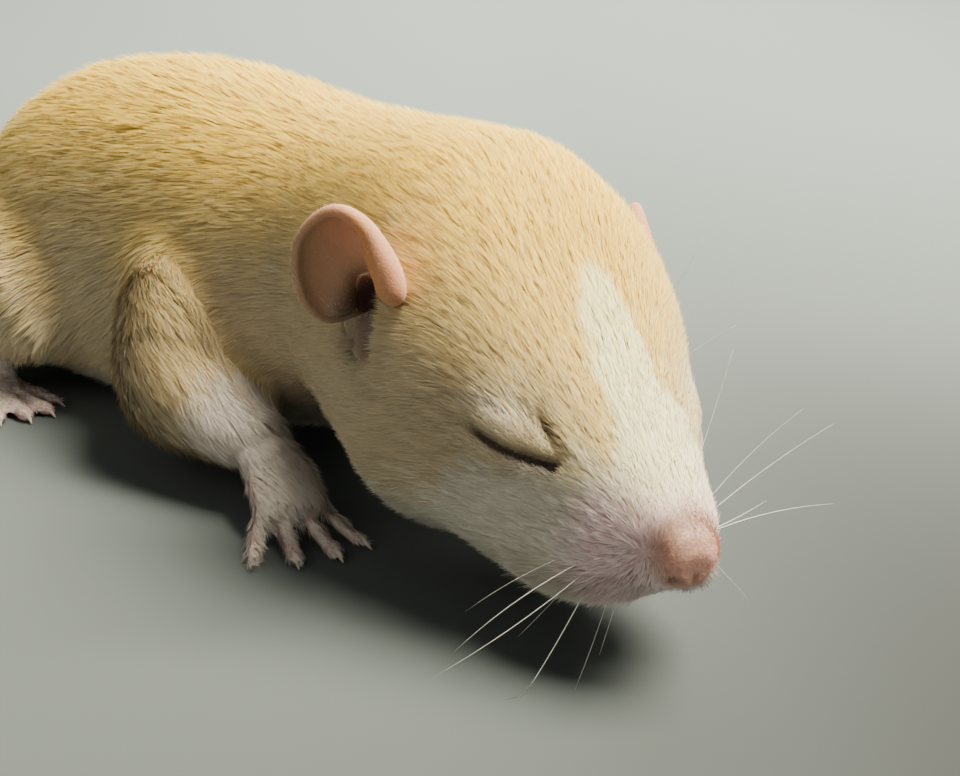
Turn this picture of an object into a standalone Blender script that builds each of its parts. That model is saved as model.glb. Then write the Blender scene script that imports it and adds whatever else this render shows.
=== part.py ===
"""Dumbo rat pup about thirteen days old, lying at rest on its belly with closed lids.

It faces -Y with its head turned to its own right, towards -X, and rests on the floor at Z = 0.
Sizes are in millimetres. The finished solids are in metres, centred over the origin.
"""
import math

import bmesh
import bpy
import numpy as np
from mathutils import Matrix, Vector

METRE = 0.001
GAP = 0.3
MERGE = 0.012

# Trunk, from the tip of the nose backwards along its middle line
NOSE_HEIGHT = 7.8
HEAD_TURN = math.radians(18)
HEAD_DIP = math.radians(10)
RUMP_TURN = math.radians(-6)
RUMP_DIP = math.radians(-14)
TAIL_ROOT_DIP = math.radians(-26)
FULLNESS = 2.25
# Each row: distance behind the nose, half width, rise above the middle line, drop below it,
# and the share of the height at which the section is widest
TRUNK = (
    (0.0, 1.10, 1.00, 0.95, 0.50),
    (0.4, 1.70, 1.68, 1.45, 0.50),
    (1.2, 2.20, 2.28, 1.85, 0.47),
    (3.2, 3.50, 3.40, 3.60, 0.42),
    (6.5, 5.30, 4.93, 6.30, 0.42),
    (10.5, 7.21, 7.17, 7.20, 0.45),
    (15.0, 9.31, 10.19, 7.55, 0.48),
    (20.0, 10.75, 13.45, 9.40, 0.45),
    (26.0, 10.64, 15.00, 9.20, 0.42),
    (32.0, 10.50, 14.10, 8.30, 0.42),
    (38.0, 11.20, 12.70, 10.60, 0.42),
    (46.0, 12.60, 12.30, 12.60, 0.42),
    (54.0, 12.60, 13.30, 13.60, 0.42),
    (62.0, 13.40, 14.30, 14.00, 0.40),
    (70.0, 13.60, 14.40, 13.20, 0.40),
    (77.0, 12.20, 12.60, 11.40, 0.42),
    (83.0, 8.40, 8.60, 7.40, 0.45),
    (88.5, 3.00, 3.30, 2.90, 0.50),
)
NOSE_END = 1.15
HEAD_END = 33.0
NECK_END = 44.0
TORSO_END = 66.0
TRUNK_END = 88.2

# Soft forms of the head: distance behind the nose, degrees down from the crown, their spreads
# in the same units, and how far they stand out
HEAD_FORMS = (
    (4.8, 112, 2.0, 24, 0.45),
    (7.2, 74, 1.7, 15, -0.40),
    (10.6, 58, 3.0, 13, 0.35),
    (14.5, 92, 2.2, 12, -0.25),
    (18.5, 112, 3.6, 24, 0.30),
)

# Closed eye: its inner and outer corners as distance behind the nose and height in the head
EYE_INNER = (7.6, 2.75)
EYE_OUTER = (13.1, 2.95)
EYE_RADII = (2.0, 1.75, 3.25)
EYE_SUNK = 1.1
EYE_LOOKS_UP = 0.45
LID_SEAM = 0.24
LID_SEAM_WIDTH = 0.22

# Mouth: plan of the lower jaw and height of the line of the lips
JAW_FRONT = 2.9
JAW_BACK = 12.4
JAW_HALF_WIDTH = 3.0
LIP_HEIGHT = -3.35
LIP_FALL = 0.05
JAW_BLUNTNESS = 0.9
JAW_ROOM_BOTTOM = -12.0
NOSTRIL_AT = (0.5, 1.1, 0.2)
NOSTRIL_RADII = (0.42, 0.40, 0.30)

# Ears: centre of the cup in the head, its long and outward directions, and its sizes. The left
# one is laid back along the neck.
EAR_CENTRE = {-1: (-21.8, 12.2, 7.9), 1: (-25.6, 11.2, 5.8)}
EAR_UP = {-1: (-0.18, 0.28, 0.94), 1: (-0.48, 0.10, 0.87)}
EAR_OUT = {-1: (-0.52, 0.80, -0.30), 1: (-0.78, 0.60, -0.20)}
EAR_HALF_HEIGHT = 5.3
EAR_HALF_WIDTH = 3.6
EAR_DEPTH = 2.2
EAR_WALL = 0.9
EAR_FOLD = 0.7
EAR_ROOT_AT = (-22.4, 10.2, 4.7)
EAR_ROOT_RADII = (2.0, 1.9, 3.4)
EAR_CANAL_AT = (-20.6, 11.6, 5.6)
EAR_CANAL_RADII = (1.9, 0.8, 1.7)

# Legs as (out from the body's middle, behind the nose, up), half width and half height
FORELEG = (
    (9.6, 48.6, 12.0, 5.2, 5.8),
    (11.4, 46.6, 9.2, 5.4, 5.8),
    (13.2, 44.4, 6.8, 4.7, 4.8),
    (13.5, 40.8, 5.9, 3.9, 3.7),
    (13.4, 37.8, 5.3, 3.3, 2.8),
    (13.4, 35.5, 4.9, 2.9, 2.4),
)
FORE_PALM = (
    (13.4, 35.2, 4.7, 2.5, 2.0),
    (13.8, 33.4, 3.9, 2.7, 1.7),
    (14.4, 31.3, 2.8, 2.8, 1.4),
    (14.8, 30.1, 2.4, 2.6, 1.1),
)
THIGH = (
    (9.6, 76.5, 10.5, 4.2, 4.6),
    (11.2, 72.5, 10.2, 4.9, 6.4),
    (12.4, 67.8, 9.2, 4.6, 6.0),
    (13.4, 63.6, 8.0, 3.6, 4.4),
    (13.8, 61.4, 7.2, 2.2, 2.6),
)
SHANK = (
    (13.0, 64.5, 6.2, 2.9, 3.0),
    (13.4, 69.5, 5.2, 3.0, 2.8),
    (13.7, 74.5, 4.6, 2.6, 2.4),
    (13.9, 78.2, 4.3, 1.9, 1.9),
)
HIND_SOLE = (
    (13.9, 79.8, 1.9, 1.5, 1.7),
    (14.1, 77.6, 2.0, 2.0, 2.1),
    (14.8, 72.6, 1.6, 1.9, 1.7),
    (15.6, 67.6, 1.3, 2.3, 1.4),
    (15.9, 65.6, 1.2, 2.3, 1.2),
)
# How the left legs lie apart from the right ones: further in, further back
LEFT_FORE_SHIFT = (-1.8, 1.8)
LEFT_HIND_SHIFT = (-0.8, -2.0)

# Digits: spread in degrees, length, and half thickness, from the inner to the outer one
FORE_DIGITS = ((-27, 3.9, 0.68), (-9, 4.9, 0.72), (8, 4.9, 0.72), (25, 4.0, 0.66))
HIND_DIGITS = ((-26, 3.9, 0.66), (-11, 5.8, 0.74), (1, 6.2, 0.76), (13, 5.7, 0.74), (30, 3.8, 0.64))
DIGIT_ROOT_DEPTH = 1.0
KNUCKLE = 0.12
CLAW_LENGTH = 1.3
CLAW_RADIUS = 0.36
CLAW_TIP = 0.07
CLAW_RISE = 0.25
CLAW_FALL = 0.15
FLOOR_SINK = 0.25

# Tail
TAIL_LENGTH = 50.0
TAIL_ROOT_RADIUS = 2.5
TAIL_TIP_RADIUS = 0.8
TAIL_SWEEP = math.radians(-82)
TAIL_FALL = 13.0
TAIL_CUTS = (0.0, 15.0, 32.0, TAIL_LENGTH)

FAWN = (0.60, 0.47, 0.30)
CREAM = (0.78, 0.70, 0.56)
PINK = (0.72, 0.42, 0.38)
MAUVE = (0.50, 0.34, 0.34)
LID = (0.42, 0.32, 0.24)


def smooth(low, high, at):
    """A soft step from 0 at low to 1 at high."""
    share = np.clip((at - low) / (high - low), 0.0, 1.0)
    return share * share * (3.0 - 2.0 * share)


def through(keys, values, at):
    """A smooth curve through the values at the keys."""
    slope = np.gradient(values, keys)
    i = int(np.clip(np.searchsorted(keys, at) - 1, 0, len(keys) - 2))
    span = keys[i + 1] - keys[i]
    t = (at - keys[i]) / span
    ends = (2 * t**3 - 3 * t**2 + 1) * values[i] + (3 * t**2 - 2 * t**3) * values[i + 1]
    return ends + span * ((t**3 - 2 * t**2 + t) * slope[i] + (t**3 - t**2) * slope[i + 1])


def turn_at(s):
    """Heading of the trunk to its right, at distance s behind the nose."""
    return HEAD_TURN * (1 - smooth(30, 52, s)) + RUMP_TURN * smooth(55, 88, s)


def dip_at(s):
    """How far the trunk points down towards the nose at s."""
    front = HEAD_DIP * (1 - smooth(30, 46, s))
    return front + RUMP_DIP * smooth(46, 80, s) + TAIL_ROOT_DIP * smooth(76, 88, s)


def axes_at(s):
    """Forward, left and up directions of the trunk at s."""
    turn, dip = turn_at(s), dip_at(s)
    forward = Vector((-math.sin(turn) * math.cos(dip), -math.cos(turn) * math.cos(dip), -math.sin(dip)))
    left = Vector((math.cos(turn), -math.sin(turn), 0.0))
    return forward, left, forward.cross(left)


def spine_line(step=0.25):
    """Points of the trunk's middle line, one each step, from the nose backwards."""
    place = Vector((0.0, 0.0, NOSE_HEIGHT))
    line = [place.copy()]
    for i in range(int(90 / step)):
        place -= axes_at((i + 0.5) * step)[0] * step
        line.append(place.copy())
    return line


SPINE_STEP = 0.25
SPINE = spine_line(SPINE_STEP)


def spine_at(s):
    i = min(int(s / SPINE_STEP), len(SPINE) - 2)
    return SPINE[i].lerp(SPINE[i + 1], s / SPINE_STEP - i)


def section_at(s):
    """Half width, rise, drop and the height of the widest place at s."""
    keys = np.array([row[0] for row in TRUNK])
    half, rise, drop, share = (through(keys, np.array([row[i] for row in TRUNK]), s) for i in (1, 2, 3, 4))
    return half, rise, drop, -drop + share * (rise + drop)


def head_form(s, crown_angle):
    """How far the soft forms of the head stand out at s and at this angle from the crown."""
    return sum(height * math.exp(-((s - at) / spread)**2 - ((crown_angle - down) / wide)**2)
               for at, down, spread, wide, height in HEAD_FORMS)


def trunk_ring(s, sides, grown=0.0):
    """One ring of points round the trunk at s, grown outwards."""
    half, rise, drop, wide = section_at(s)
    forward, left, up = axes_at(s)
    ring = []
    for i in range(sides):
        angle = 2 * math.pi * i / sides
        c, v = math.cos(angle), math.sin(angle)
        crown = abs(math.degrees(math.atan2(c, v)))
        out = grown + head_form(s, crown)
        across = math.copysign(abs(c)**(2 / FULLNESS), c) * half + out * c
        above = (rise - wide) if v > 0 else (wide + drop)
        height = wide + math.copysign(abs(v)**(2 / FULLNESS), v) * above + out * v
        ring.append(spine_at(s) + left * across + up * height)
    return ring


def head_place(x, y, z):
    """A point given forward, left and up of the nose tip, in the head's own directions."""
    forward, left, up = axes_at(0.0)
    return spine_at(0.0) + forward * x + left * y + up * z


def skin_side(s, height):
    """How far out the head's surface is at s and at this height above its middle line."""
    half, rise, drop, wide = section_at(s)
    reach = rise - wide if height > wide else wide + drop
    share = min(abs(height - wide) / reach, 1.0)
    return half * (1 - share**FULLNESS)**(1 / FULLNESS)


def loft(rings):
    """A closed solid through rings of points, by extruding one cap from ring to ring."""
    bm = bmesh.new()
    bmesh.ops.create_circle(bm, cap_ends=True, segments=len(rings[0]), radius=1.0)
    bm.faces.ensure_lookup_table()
    cap = bm.faces[0]
    first = list(cap.verts)
    for vertex, place in zip(first, rings[0]):
        vertex.co = place
    for ring in rings[1:]:
        cap = bmesh.ops.extrude_discrete_faces(bm, faces=[cap])["faces"][0]
        for vertex, place in zip(cap.verts, ring):
            vertex.co = place
    bmesh.ops.contextual_create(bm, geom=first)
    return bm


def trunk_solid(start, end, count, sides, grown=0.0):
    """The length of the trunk between two distances behind the nose."""
    return loft([trunk_ring(s, sides, grown) for s in np.linspace(start, end, count)])


def solid(name, bm, colour=FAWN, roughness=0.85):
    """A named object in millimetres with its own material."""
    mesh = bpy.data.meshes.new(name)
    bm.normal_update()
    bmesh.ops.recalc_face_normals(bm, faces=bm.faces)
    bm.to_mesh(mesh)
    bm.free()
    part = bpy.data.objects.new(name, mesh)
    bpy.context.scene.collection.objects.link(part)
    material = bpy.data.materials.new(name)
    material.use_nodes = True
    shader = material.node_tree.nodes["Principled BSDF"]
    shader.inputs["Base Color"].default_value = (*colour, 1.0)
    shader.inputs["Roughness"].default_value = roughness
    mesh.materials.append(material)
    return part


def combine(part, others, operation):
    """Joins, cuts or meets a solid with others by one Boolean, and removes the others."""
    group = bpy.data.collections.new("others")
    for other in others:
        group.objects.link(other)
    boolean = part.modifiers.new("boolean", "BOOLEAN")
    boolean.operation = operation
    boolean.operand_type = "COLLECTION"
    boolean.collection = group
    boolean.solver = "EXACT"
    depsgraph = bpy.context.evaluated_depsgraph_get()
    mesh = bpy.data.meshes.new_from_object(part.evaluated_get(depsgraph))
    part.modifiers.clear()
    part.data = mesh
    for other in others:
        bpy.data.objects.remove(other)
    bpy.data.collections.remove(group)
    keep_largest(part)


def keep_largest(part):
    """Keeps only the largest closed surface of a solid."""
    bm = bmesh.new()
    bm.from_mesh(part.data)
    bmesh.ops.remove_doubles(bm, verts=bm.verts, dist=MERGE)
    bmesh.ops.dissolve_degenerate(bm, edges=bm.edges, dist=MERGE)
    left = set(bm.faces)
    shells = []
    while left:
        shell, edge = [], [left.pop()]
        while edge:
            face = edge.pop()
            shell.append(face)
            near = {other for side in face.edges for other in side.link_faces if other in left}
            left -= near
            edge.extend(near)
        shells.append(shell)
    shells.sort(key=lambda shell: sum(face.calc_area() for face in shell))
    loose = [face for shell in shells[:-1] for face in shell]
    bmesh.ops.delete(bm, geom=loose, context="FACES")
    bm.to_mesh(part.data)
    bm.free()


def cut_at_floor(part):
    """Cuts what lies below the floor and leaves a small flat there."""
    bm = bmesh.new()
    bm.from_mesh(part.data)
    everything = bm.verts[:] + bm.edges[:] + bm.faces[:]
    cut = bmesh.ops.bisect_plane(bm, geom=everything, dist=1e-5, plane_co=(0, 0, 0),
                                 plane_no=(0, 0, 1), clear_inner=True)["geom_cut"]
    rim = [edge for edge in cut if isinstance(edge, bmesh.types.BMEdge) and edge.is_boundary]
    if rim:
        bmesh.ops.triangle_fill(bm, use_beauty=True, edges=rim)
    bmesh.ops.recalc_face_normals(bm, faces=bm.faces)
    bm.to_mesh(part.data)
    bm.free()


def ellipsoid(name, centre, directions, radii, rounds=16, rows=10, colour=FAWN):
    """An ellipsoid whose poles lie on the last direction."""
    bm = bmesh.new()
    bmesh.ops.create_uvsphere(bm, u_segments=rounds, v_segments=rows, radius=1.0)
    turn = Matrix([direction * radius for direction, radius in zip(directions, radii)]).transposed().to_4x4()
    bmesh.ops.transform(bm, matrix=Matrix.Translation(centre) @ turn, verts=bm.verts)
    return solid(name, bm, colour)


def limb_rings(stations, sides):
    """Rings across a path of (point, half width, half height), closing at both round ends."""
    points = [Vector(row[0]) for row in stations]
    rings = []
    for i, (point, (_, half, tall)) in enumerate(zip(points, stations)):
        along = (points[min(i + 1, len(points) - 1)] - points[max(i - 1, 0)]).normalized()
        across = along.cross(Vector((0, 0, 1))).normalized()
        upright = across.cross(along)
        ends = [(0.0, 1.0)]
        if i == 0:
            ends = [(-0.86, 0.45), (-0.5, 0.85), (0.0, 1.0)]
        elif i == len(points) - 1:
            ends = [(0.0, 1.0), (0.5, 0.85), (0.86, 0.45)]
        for ahead, share in ends:
            centre = point + along * ahead * min(half, tall)
            rings.append([centre + across * math.cos(a) * half * share + upright * math.sin(a) * tall * share
                          for a in (2 * math.pi * (k + 0.5) / sides for k in range(sides))])
    return rings


def side_place(side, out, back, up):
    """A point beside the body: side is -1 for its right and 1 for its left."""
    return Vector((spine_at(52).x + side * out, back, up))


def leg_rows(table, side, shift, sides, fine=1):
    """Rings of a leg from its table, with the left one laid a little differently."""
    move = shift if side > 0 else (0.0, 0.0)
    keys = np.arange(len(table), dtype=float)
    columns = np.array(table)
    rows = []
    for at in np.linspace(0, len(table) - 1, (len(table) - 1) * fine + 1):
        out, back, up, half, tall = (through(keys, columns[:, i], at) for i in range(5))
        rows.append((side_place(side, out + move[0], back + move[1], up), half, tall))
    return limb_rings(rows, sides)


def digit_solids(name, root, ahead, digits, side, fall, palm_width):
    """The toes of a paw and their claws, fanned out from inside the front of its palm."""
    pieces = []
    across = ahead.cross(Vector((0, 0, 1))).normalized() * (-1 if side > 0 else 1)
    for i, (spread, length, thick) in enumerate(digits):
        place_across = (i / (len(digits) - 1) - 0.5) * 2 * (palm_width - thick)
        angle = math.radians(spread)
        aim = (ahead * math.cos(angle) - across * math.sin(angle)).normalized()
        start = root - across * place_across - ahead * DIGIT_ROOT_DEPTH
        rest = thick - FLOOR_SINK
        rows = []
        for share in (0.0, 0.3, 0.55, 0.8, 1.0):
            point = start + aim * length * share
            point.z = rest + (start.z - rest) * (1 - share)**fall
            knuckle = 1.0 + KNUCKLE * math.cos(share * 4 * math.pi)
            rows.append((point, thick * knuckle, thick * knuckle))
        pieces.append(solid(name, loft(limb_rings(rows, 8))))
        tip = start + aim * length
        claw = []
        for share in (0.0, 0.35, 0.7, 1.0):
            point = tip + aim * CLAW_LENGTH * share
            point.z = rest + CLAW_RISE - CLAW_FALL * share
            size = CLAW_RADIUS * (1 - share)**0.7 + CLAW_TIP
            claw.append((point, size * 0.8, size))
        pieces.append(solid(name, loft(limb_rings(claw, 5))))
    return pieces


def make_nose():
    part = solid("nose", loft([trunk_ring(s, 24) for s in (0.0, 0.1, 0.3, 0.65, NOSE_END)]), PINK, 0.45)
    forward, left, up = axes_at(0.0)
    back, out, height = NOSTRIL_AT
    pits = []
    for side in (-1, 1):
        aim = (forward * 0.75 + left * side * 0.66).normalized()
        along = aim.cross(up).normalized()
        pits.append(ellipsoid("nostril", head_place(-back, side * out, height),
                              (aim, along, aim.cross(along)), NOSTRIL_RADII, 10, 6))
    combine(part, pits, "DIFFERENCE")
    return part


def eye_frame(side):
    """Centre and directions of a closed eye: outwards, across the lids, along their seam."""
    inner, outer = (head_place(-s, side * skin_side(s, z), z) for s, z in (EYE_INNER, EYE_OUTER))
    along = (outer - inner).normalized()
    up = axes_at(0.0)[2]
    outward = along.cross(up).normalized() * side
    outward = (outward + up * EYE_LOOKS_UP).normalized()
    outward = (outward - along * outward.dot(along)).normalized()
    return (inner + outer) / 2, (outward, outward.cross(along), along)


def make_eye(side, grown=0.0):
    """The closed lids: one low bulge with the seam as a groove along it."""
    name = "eye_left" if side > 0 else "eye_right"
    centre, directions = eye_frame(side)
    surface = trunk_surface_near(centre, directions[0])
    centre = centre + directions[0] * (surface - EYE_SUNK)
    bm = bmesh.new()
    bmesh.ops.create_uvsphere(bm, u_segments=20, v_segments=12, radius=1.0)
    for vertex in bm.verts:
        from_front = math.atan2(vertex.co.y, vertex.co.x)
        groove = LID_SEAM * math.exp(-(from_front / LID_SEAM_WIDTH)**2) if grown == 0.0 else 0.0
        radii = [radius + grown for radius in EYE_RADII]
        flat = 1.0 - groove * (1 - abs(vertex.co.z)**3)
        place = centre.copy()
        for value, direction, radius in zip(vertex.co, directions, radii):
            place += direction * value * radius * flat
        vertex.co = place
    return solid(name, bm, LID, 0.7)


def trunk_surface_near(point, outward):
    """How far the head's surface lies from a point along a direction."""
    low, high = -3.0, 4.0
    for _ in range(30):
        middle = (low + high) / 2
        if inside_head(point + outward * middle):
            low = middle
        else:
            high = middle
    return low


def inside_head(point):
    forward, left, up = axes_at(0.0)
    local = point - spine_at(0.0)
    s, y, z = -local.dot(forward), local.dot(left), local.dot(up)
    half, rise, drop, wide = section_at(s)
    reach = rise - wide if z > wide else wide + drop
    return abs(y / half)**FULLNESS + abs((z - wide) / reach)**FULLNESS < 1


def jaw_space(grown=0.0):
    """The room of the lower jaw: a long rounded plan, from the line of the lips down."""
    middle = (JAW_FRONT + JAW_BACK) / 2
    length = (JAW_BACK - JAW_FRONT) / 2 + grown
    rings = []
    width = JAW_HALF_WIDTH + grown
    for height in (LIP_HEIGHT + grown, JAW_ROOM_BOTTOM):
        ring = []
        for k in range(20):
            ahead, across = math.cos(2 * math.pi * k / 20), math.sin(2 * math.pi * k / 20)
            blunt = math.copysign(abs(across)**JAW_BLUNTNESS, across)
            ring.append(head_place(-middle - length * ahead, width * blunt, height - LIP_FALL * length * ahead))
        rings.append(ring)
    return solid("jaw_space", loft(rings))


def make_head():
    head = solid("head", trunk_solid(NOSE_END + GAP, HEAD_END, 27, 32))
    cutters = [jaw_space(GAP)] + [make_eye(side, GAP) for side in (-1, 1)]
    combine(head, cutters, "DIFFERENCE")
    jaw = solid("lower_jaw", trunk_solid(JAW_FRONT - 2 * GAP, JAW_BACK + 3 * GAP, 10, 32), CREAM)
    combine(jaw, [jaw_space()], "INTERSECT")
    return [head, jaw]


def make_ear(side):
    """A round cup that opens forwards and outwards, with a thick front fold."""
    name = "ear_left" if side > 0 else "ear_right"
    forward, left, up = axes_at(0.0)

    def turned(vector):
        return (forward * vector[0] + left * side * vector[1] + up * vector[2]).normalized()

    tall = turned(EAR_UP[side])
    out = turned(EAR_OUT[side])
    out = (out - tall * out.dot(tall)).normalized()
    facing = tall.cross(out) * (1 if tall.cross(out).dot(forward) > 0 else -1)
    ahead, beside, above = EAR_CENTRE[side]
    centre = head_place(ahead, side * beside, above)
    rings = []
    shares = (0.12, 0.4, 0.65, 0.85, 0.97)
    layers = [(share, 0.5) for share in shares] + [(1.03, 0.0)] + [(share, -0.5) for share in shares[::-1]]
    for share, layer in layers:
        ring = []
        for k in range(22):
            a = 2 * math.pi * k / 22
            front = 0.5 - 0.5 * math.cos(a)
            wall = EAR_WALL * (1 + 0.5 * front * share)
            bowl = EAR_DEPTH * (share**2 - 1) + EAR_FOLD * front * share**4
            ring.append(centre + out * math.cos(a) * EAR_HALF_WIDTH * share
                        + tall * math.sin(a) * EAR_HALF_HEIGHT * share
                        + facing * (bowl + wall * layer))
        rings.append(ring)
    ear = solid(name, loft(rings), PINK, 0.6)
    directions = (facing, out, tall)
    root = head_place(EAR_ROOT_AT[0], side * EAR_ROOT_AT[1], EAR_ROOT_AT[2])
    canal = head_place(EAR_CANAL_AT[0], side * EAR_CANAL_AT[1], EAR_CANAL_AT[2])
    combine(ear, [ellipsoid("root", root, directions, EAR_ROOT_RADII, 14, 8)], "UNION")
    combine(ear, [ellipsoid("canal", canal, directions, EAR_CANAL_RADII, 12, 7),
                  solid("room", trunk_solid(8.0, 60.0, 27, 32, GAP))], "DIFFERENCE")
    return ear


def make_foreleg(side):
    name = "foreleg_left" if side > 0 else "foreleg_right"
    leg = solid(name, loft(leg_rows(FORELEG, side, LEFT_FORE_SHIFT, 14, 2)))
    room = [solid("room", trunk_solid(8.0, 80.0, 37, 32, GAP)),
            solid("room", loft(leg_rows(grown_rows(FORE_PALM), side, LEFT_FORE_SHIFT, 12)))]
    combine(leg, room, "DIFFERENCE")
    return leg


def grown_rows(table):
    """A leg's table made thicker by the gap that neighbours keep."""
    return tuple((*row[:3], row[3] + GAP, row[4] + GAP) for row in table)


def make_forepaw(side):
    name = "forepaw_left" if side > 0 else "forepaw_right"
    palm = solid(name, loft(leg_rows(FORE_PALM, side, LEFT_FORE_SHIFT, 12)), MAUVE, 0.6)
    move = LEFT_FORE_SHIFT if side > 0 else (0.0, 0.0)
    ends = [side_place(side, row[0] + move[0], row[1] + move[1], row[2]) for row in (FORE_PALM[-3], FORE_PALM[-1])]
    ahead = ends[1] - ends[0]
    ahead.z = 0
    pieces = digit_solids(name, ends[1], ahead.normalized(), FORE_DIGITS, side, 1.5, FORE_PALM[-1][3])
    combine(palm, pieces, "UNION")
    cut_at_floor(palm)
    keep_largest(palm)
    return palm


def make_thigh(side):
    name = "thigh_left" if side > 0 else "thigh_right"
    thigh = solid(name, loft(leg_rows(THIGH, side, LEFT_HIND_SHIFT, 16, 2)))
    combine(thigh, [solid("shank", loft(leg_rows(SHANK, side, LEFT_HIND_SHIFT, 12)))], "UNION")
    room = [solid("room", trunk_solid(40.0, TRUNK_END, 31, 32, GAP)),
            solid("room", loft(leg_rows(grown_rows(HIND_SOLE), side, LEFT_HIND_SHIFT, 12, 2)))]
    combine(thigh, room, "DIFFERENCE")
    cut_at_floor(thigh)
    return thigh


def make_hind_foot(side):
    name = "hind_foot_left" if side > 0 else "hind_foot_right"
    sole = solid(name, loft(leg_rows(HIND_SOLE, side, LEFT_HIND_SHIFT, 12, 2)), MAUVE, 0.6)
    move = LEFT_HIND_SHIFT if side > 0 else (0.0, 0.0)
    ends = [side_place(side, row[0] + move[0], row[1] + move[1], row[2]) for row in (HIND_SOLE[1], HIND_SOLE[-1])]
    ahead = ends[1] - ends[0]
    ahead.z = 0
    pieces = digit_solids(name, ends[1], ahead.normalized(), HIND_DIGITS, side, 1.2, HIND_SOLE[-1][3])
    combine(sole, pieces, "UNION")
    room = solid("room", trunk_solid(40.0, TRUNK_END, 31, 32, GAP))
    combine(sole, [room], "DIFFERENCE")
    cut_at_floor(sole)
    keep_largest(sole)
    return sole


def tail_row(t):
    """Middle and radius of the tail at distance t from its root."""
    start = spine_at(TRUNK_END + GAP)
    radius = TAIL_ROOT_RADIUS + (TAIL_TIP_RADIUS - TAIL_ROOT_RADIUS) * (t / TAIL_LENGTH)**0.8
    place = start.copy()
    for i in range(int(t)):
        turn = RUMP_TURN + TAIL_SWEEP * smooth(4, TAIL_LENGTH + 12, i + 0.5)
        place += Vector((math.sin(turn), math.cos(turn), 0.0))
    rest = radius - FLOOR_SINK
    fall = max(0.0, 1 - t / TAIL_FALL)**2
    place.z = rest + (start.z - rest) * fall
    return place, radius, radius


def make_tail():
    parts = []
    for name, low, high in zip(("tail_base", "tail_middle", "tail_tip"), TAIL_CUTS, TAIL_CUTS[1:]):
        last = high == TAIL_LENGTH
        count = int((high - low) / 2.4)
        rows = [tail_row(t) for t in np.linspace(low, high if last else high - 1, count)]
        points = [row[0] for row in rows]
        rings = limb_rings(rows, 12)
        rings = rings[2:] if last else rings[2:-2]
        if not last:
            ahead = (points[-1] - points[-2]).normalized()
            rings.append([point + ahead * (1 - GAP) for point in rings[-1]])
        part = solid(name, loft(rings), PINK, 0.6)
        cut_at_floor(part)
        parts.append(part)
    return parts


def finish(parts):
    """Sets the solids over the origin in metres."""
    corners = [vertex.co for part in parts for vertex in part.data.vertices]
    low = Vector([min(corner[i] for corner in corners) for i in range(3)])
    high = Vector([max(corner[i] for corner in corners) for i in range(3)])
    middle = Vector(((low.x + high.x) / 2, (low.y + high.y) / 2, 0.0))
    place = Matrix.Scale(METRE, 4) @ Matrix.Translation(-middle)
    for part in parts:
        part.data.transform(place)
        part.data.update()
    print("nose tip at", [round(value, 3) for value in spine_at(0.0) - middle], "mm")
    for part in parts:
        triangles = sum(len(face.vertices) - 2 for face in part.data.polygons)
        print(part.name, triangles)


def main():
    for item in list(bpy.data.objects):
        bpy.data.objects.remove(item)
    parts = [make_nose()] + make_head()
    parts += [make_eye(side) for side in (-1, 1)]
    parts += [make_ear(side) for side in (-1, 1)]
    parts.append(solid("neck", trunk_solid(HEAD_END + GAP, NECK_END, 7, 32)))
    parts.append(solid("torso", trunk_solid(NECK_END + GAP, TORSO_END, 11, 32)))
    parts.append(solid("rump", trunk_solid(TORSO_END + GAP, TRUNK_END, 13, 32)))
    for part in parts[-2:]:
        cut_at_floor(part)
    for side in (-1, 1):
        parts += [make_foreleg(side), make_forepaw(side), make_thigh(side), make_hind_foot(side)]
    parts += make_tail()
    finish(parts)


main()
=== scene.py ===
"""Looks of a dumbo rat pup about thirteen days old, lying at rest with closed lids.

Places are worked out in millimetres in the part's frame, and meshes are written in metres.
Head places are given as distance behind the nose tip, to its left, and above it.
"""

import math

import bmesh
import bpy
import numpy as np
from mathutils import Matrix, Vector
from mathutils.bvhtree import BVHTree
from mathutils.kdtree import KDTree


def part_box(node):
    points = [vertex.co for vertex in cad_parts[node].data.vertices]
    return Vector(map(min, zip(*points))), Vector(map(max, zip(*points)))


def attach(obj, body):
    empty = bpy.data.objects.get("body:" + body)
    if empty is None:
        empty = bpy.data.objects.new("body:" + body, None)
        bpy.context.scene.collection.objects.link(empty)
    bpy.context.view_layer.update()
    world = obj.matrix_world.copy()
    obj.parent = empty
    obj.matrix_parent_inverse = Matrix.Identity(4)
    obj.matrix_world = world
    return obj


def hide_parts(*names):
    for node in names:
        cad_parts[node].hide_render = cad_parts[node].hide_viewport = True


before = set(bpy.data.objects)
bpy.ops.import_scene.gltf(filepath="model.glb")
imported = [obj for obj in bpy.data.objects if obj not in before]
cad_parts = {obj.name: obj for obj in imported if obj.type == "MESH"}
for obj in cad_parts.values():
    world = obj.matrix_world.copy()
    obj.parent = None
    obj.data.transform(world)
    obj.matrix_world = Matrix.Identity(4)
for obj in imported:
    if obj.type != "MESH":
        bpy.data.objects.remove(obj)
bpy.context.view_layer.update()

METRE = 0.001
SEED = 13

# The trunk's middle line, as the solids have it
HEAD_TURN = math.radians(18)
HEAD_DIP = math.radians(10)
RUMP_TURN = math.radians(-6)
RUMP_DIP = math.radians(-14)
TAIL_ROOT_DIP = math.radians(-26)
TRUNK_LENGTH = 88.2
SPINE_STEP = 0.25
NOSE_TIP_IN_BOX = Vector((1.725, 0.390, 1.594))

# Camera, given forward, left and up of the nose tip in the head's directions
CAMERA_PLACE = (49.35, -45.85, 40.11)
CAMERA_AIM = (-11.94, -7.80, 5.53)
CAMERA_ROLL = math.radians(-4.28)
CAMERA_LENS = 55.0

# Floor in metres: half its size, where it starts to curve up, how wide the curve is, and its turn
FLOOR_HALF = 2.4
SWEEP_START = 0.35
SWEEP_RADIUS = 1.0
SWEEP_TURN = math.radians(-46)
# Floor colours, painted shade and painted light: almost black near the camera, pale far off
FLOOR_SHADED_NEAR = (0.012, 0.014, 0.0135)
FLOOR_LIT_FAR = (0.325, 0.382, 0.378)

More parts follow.
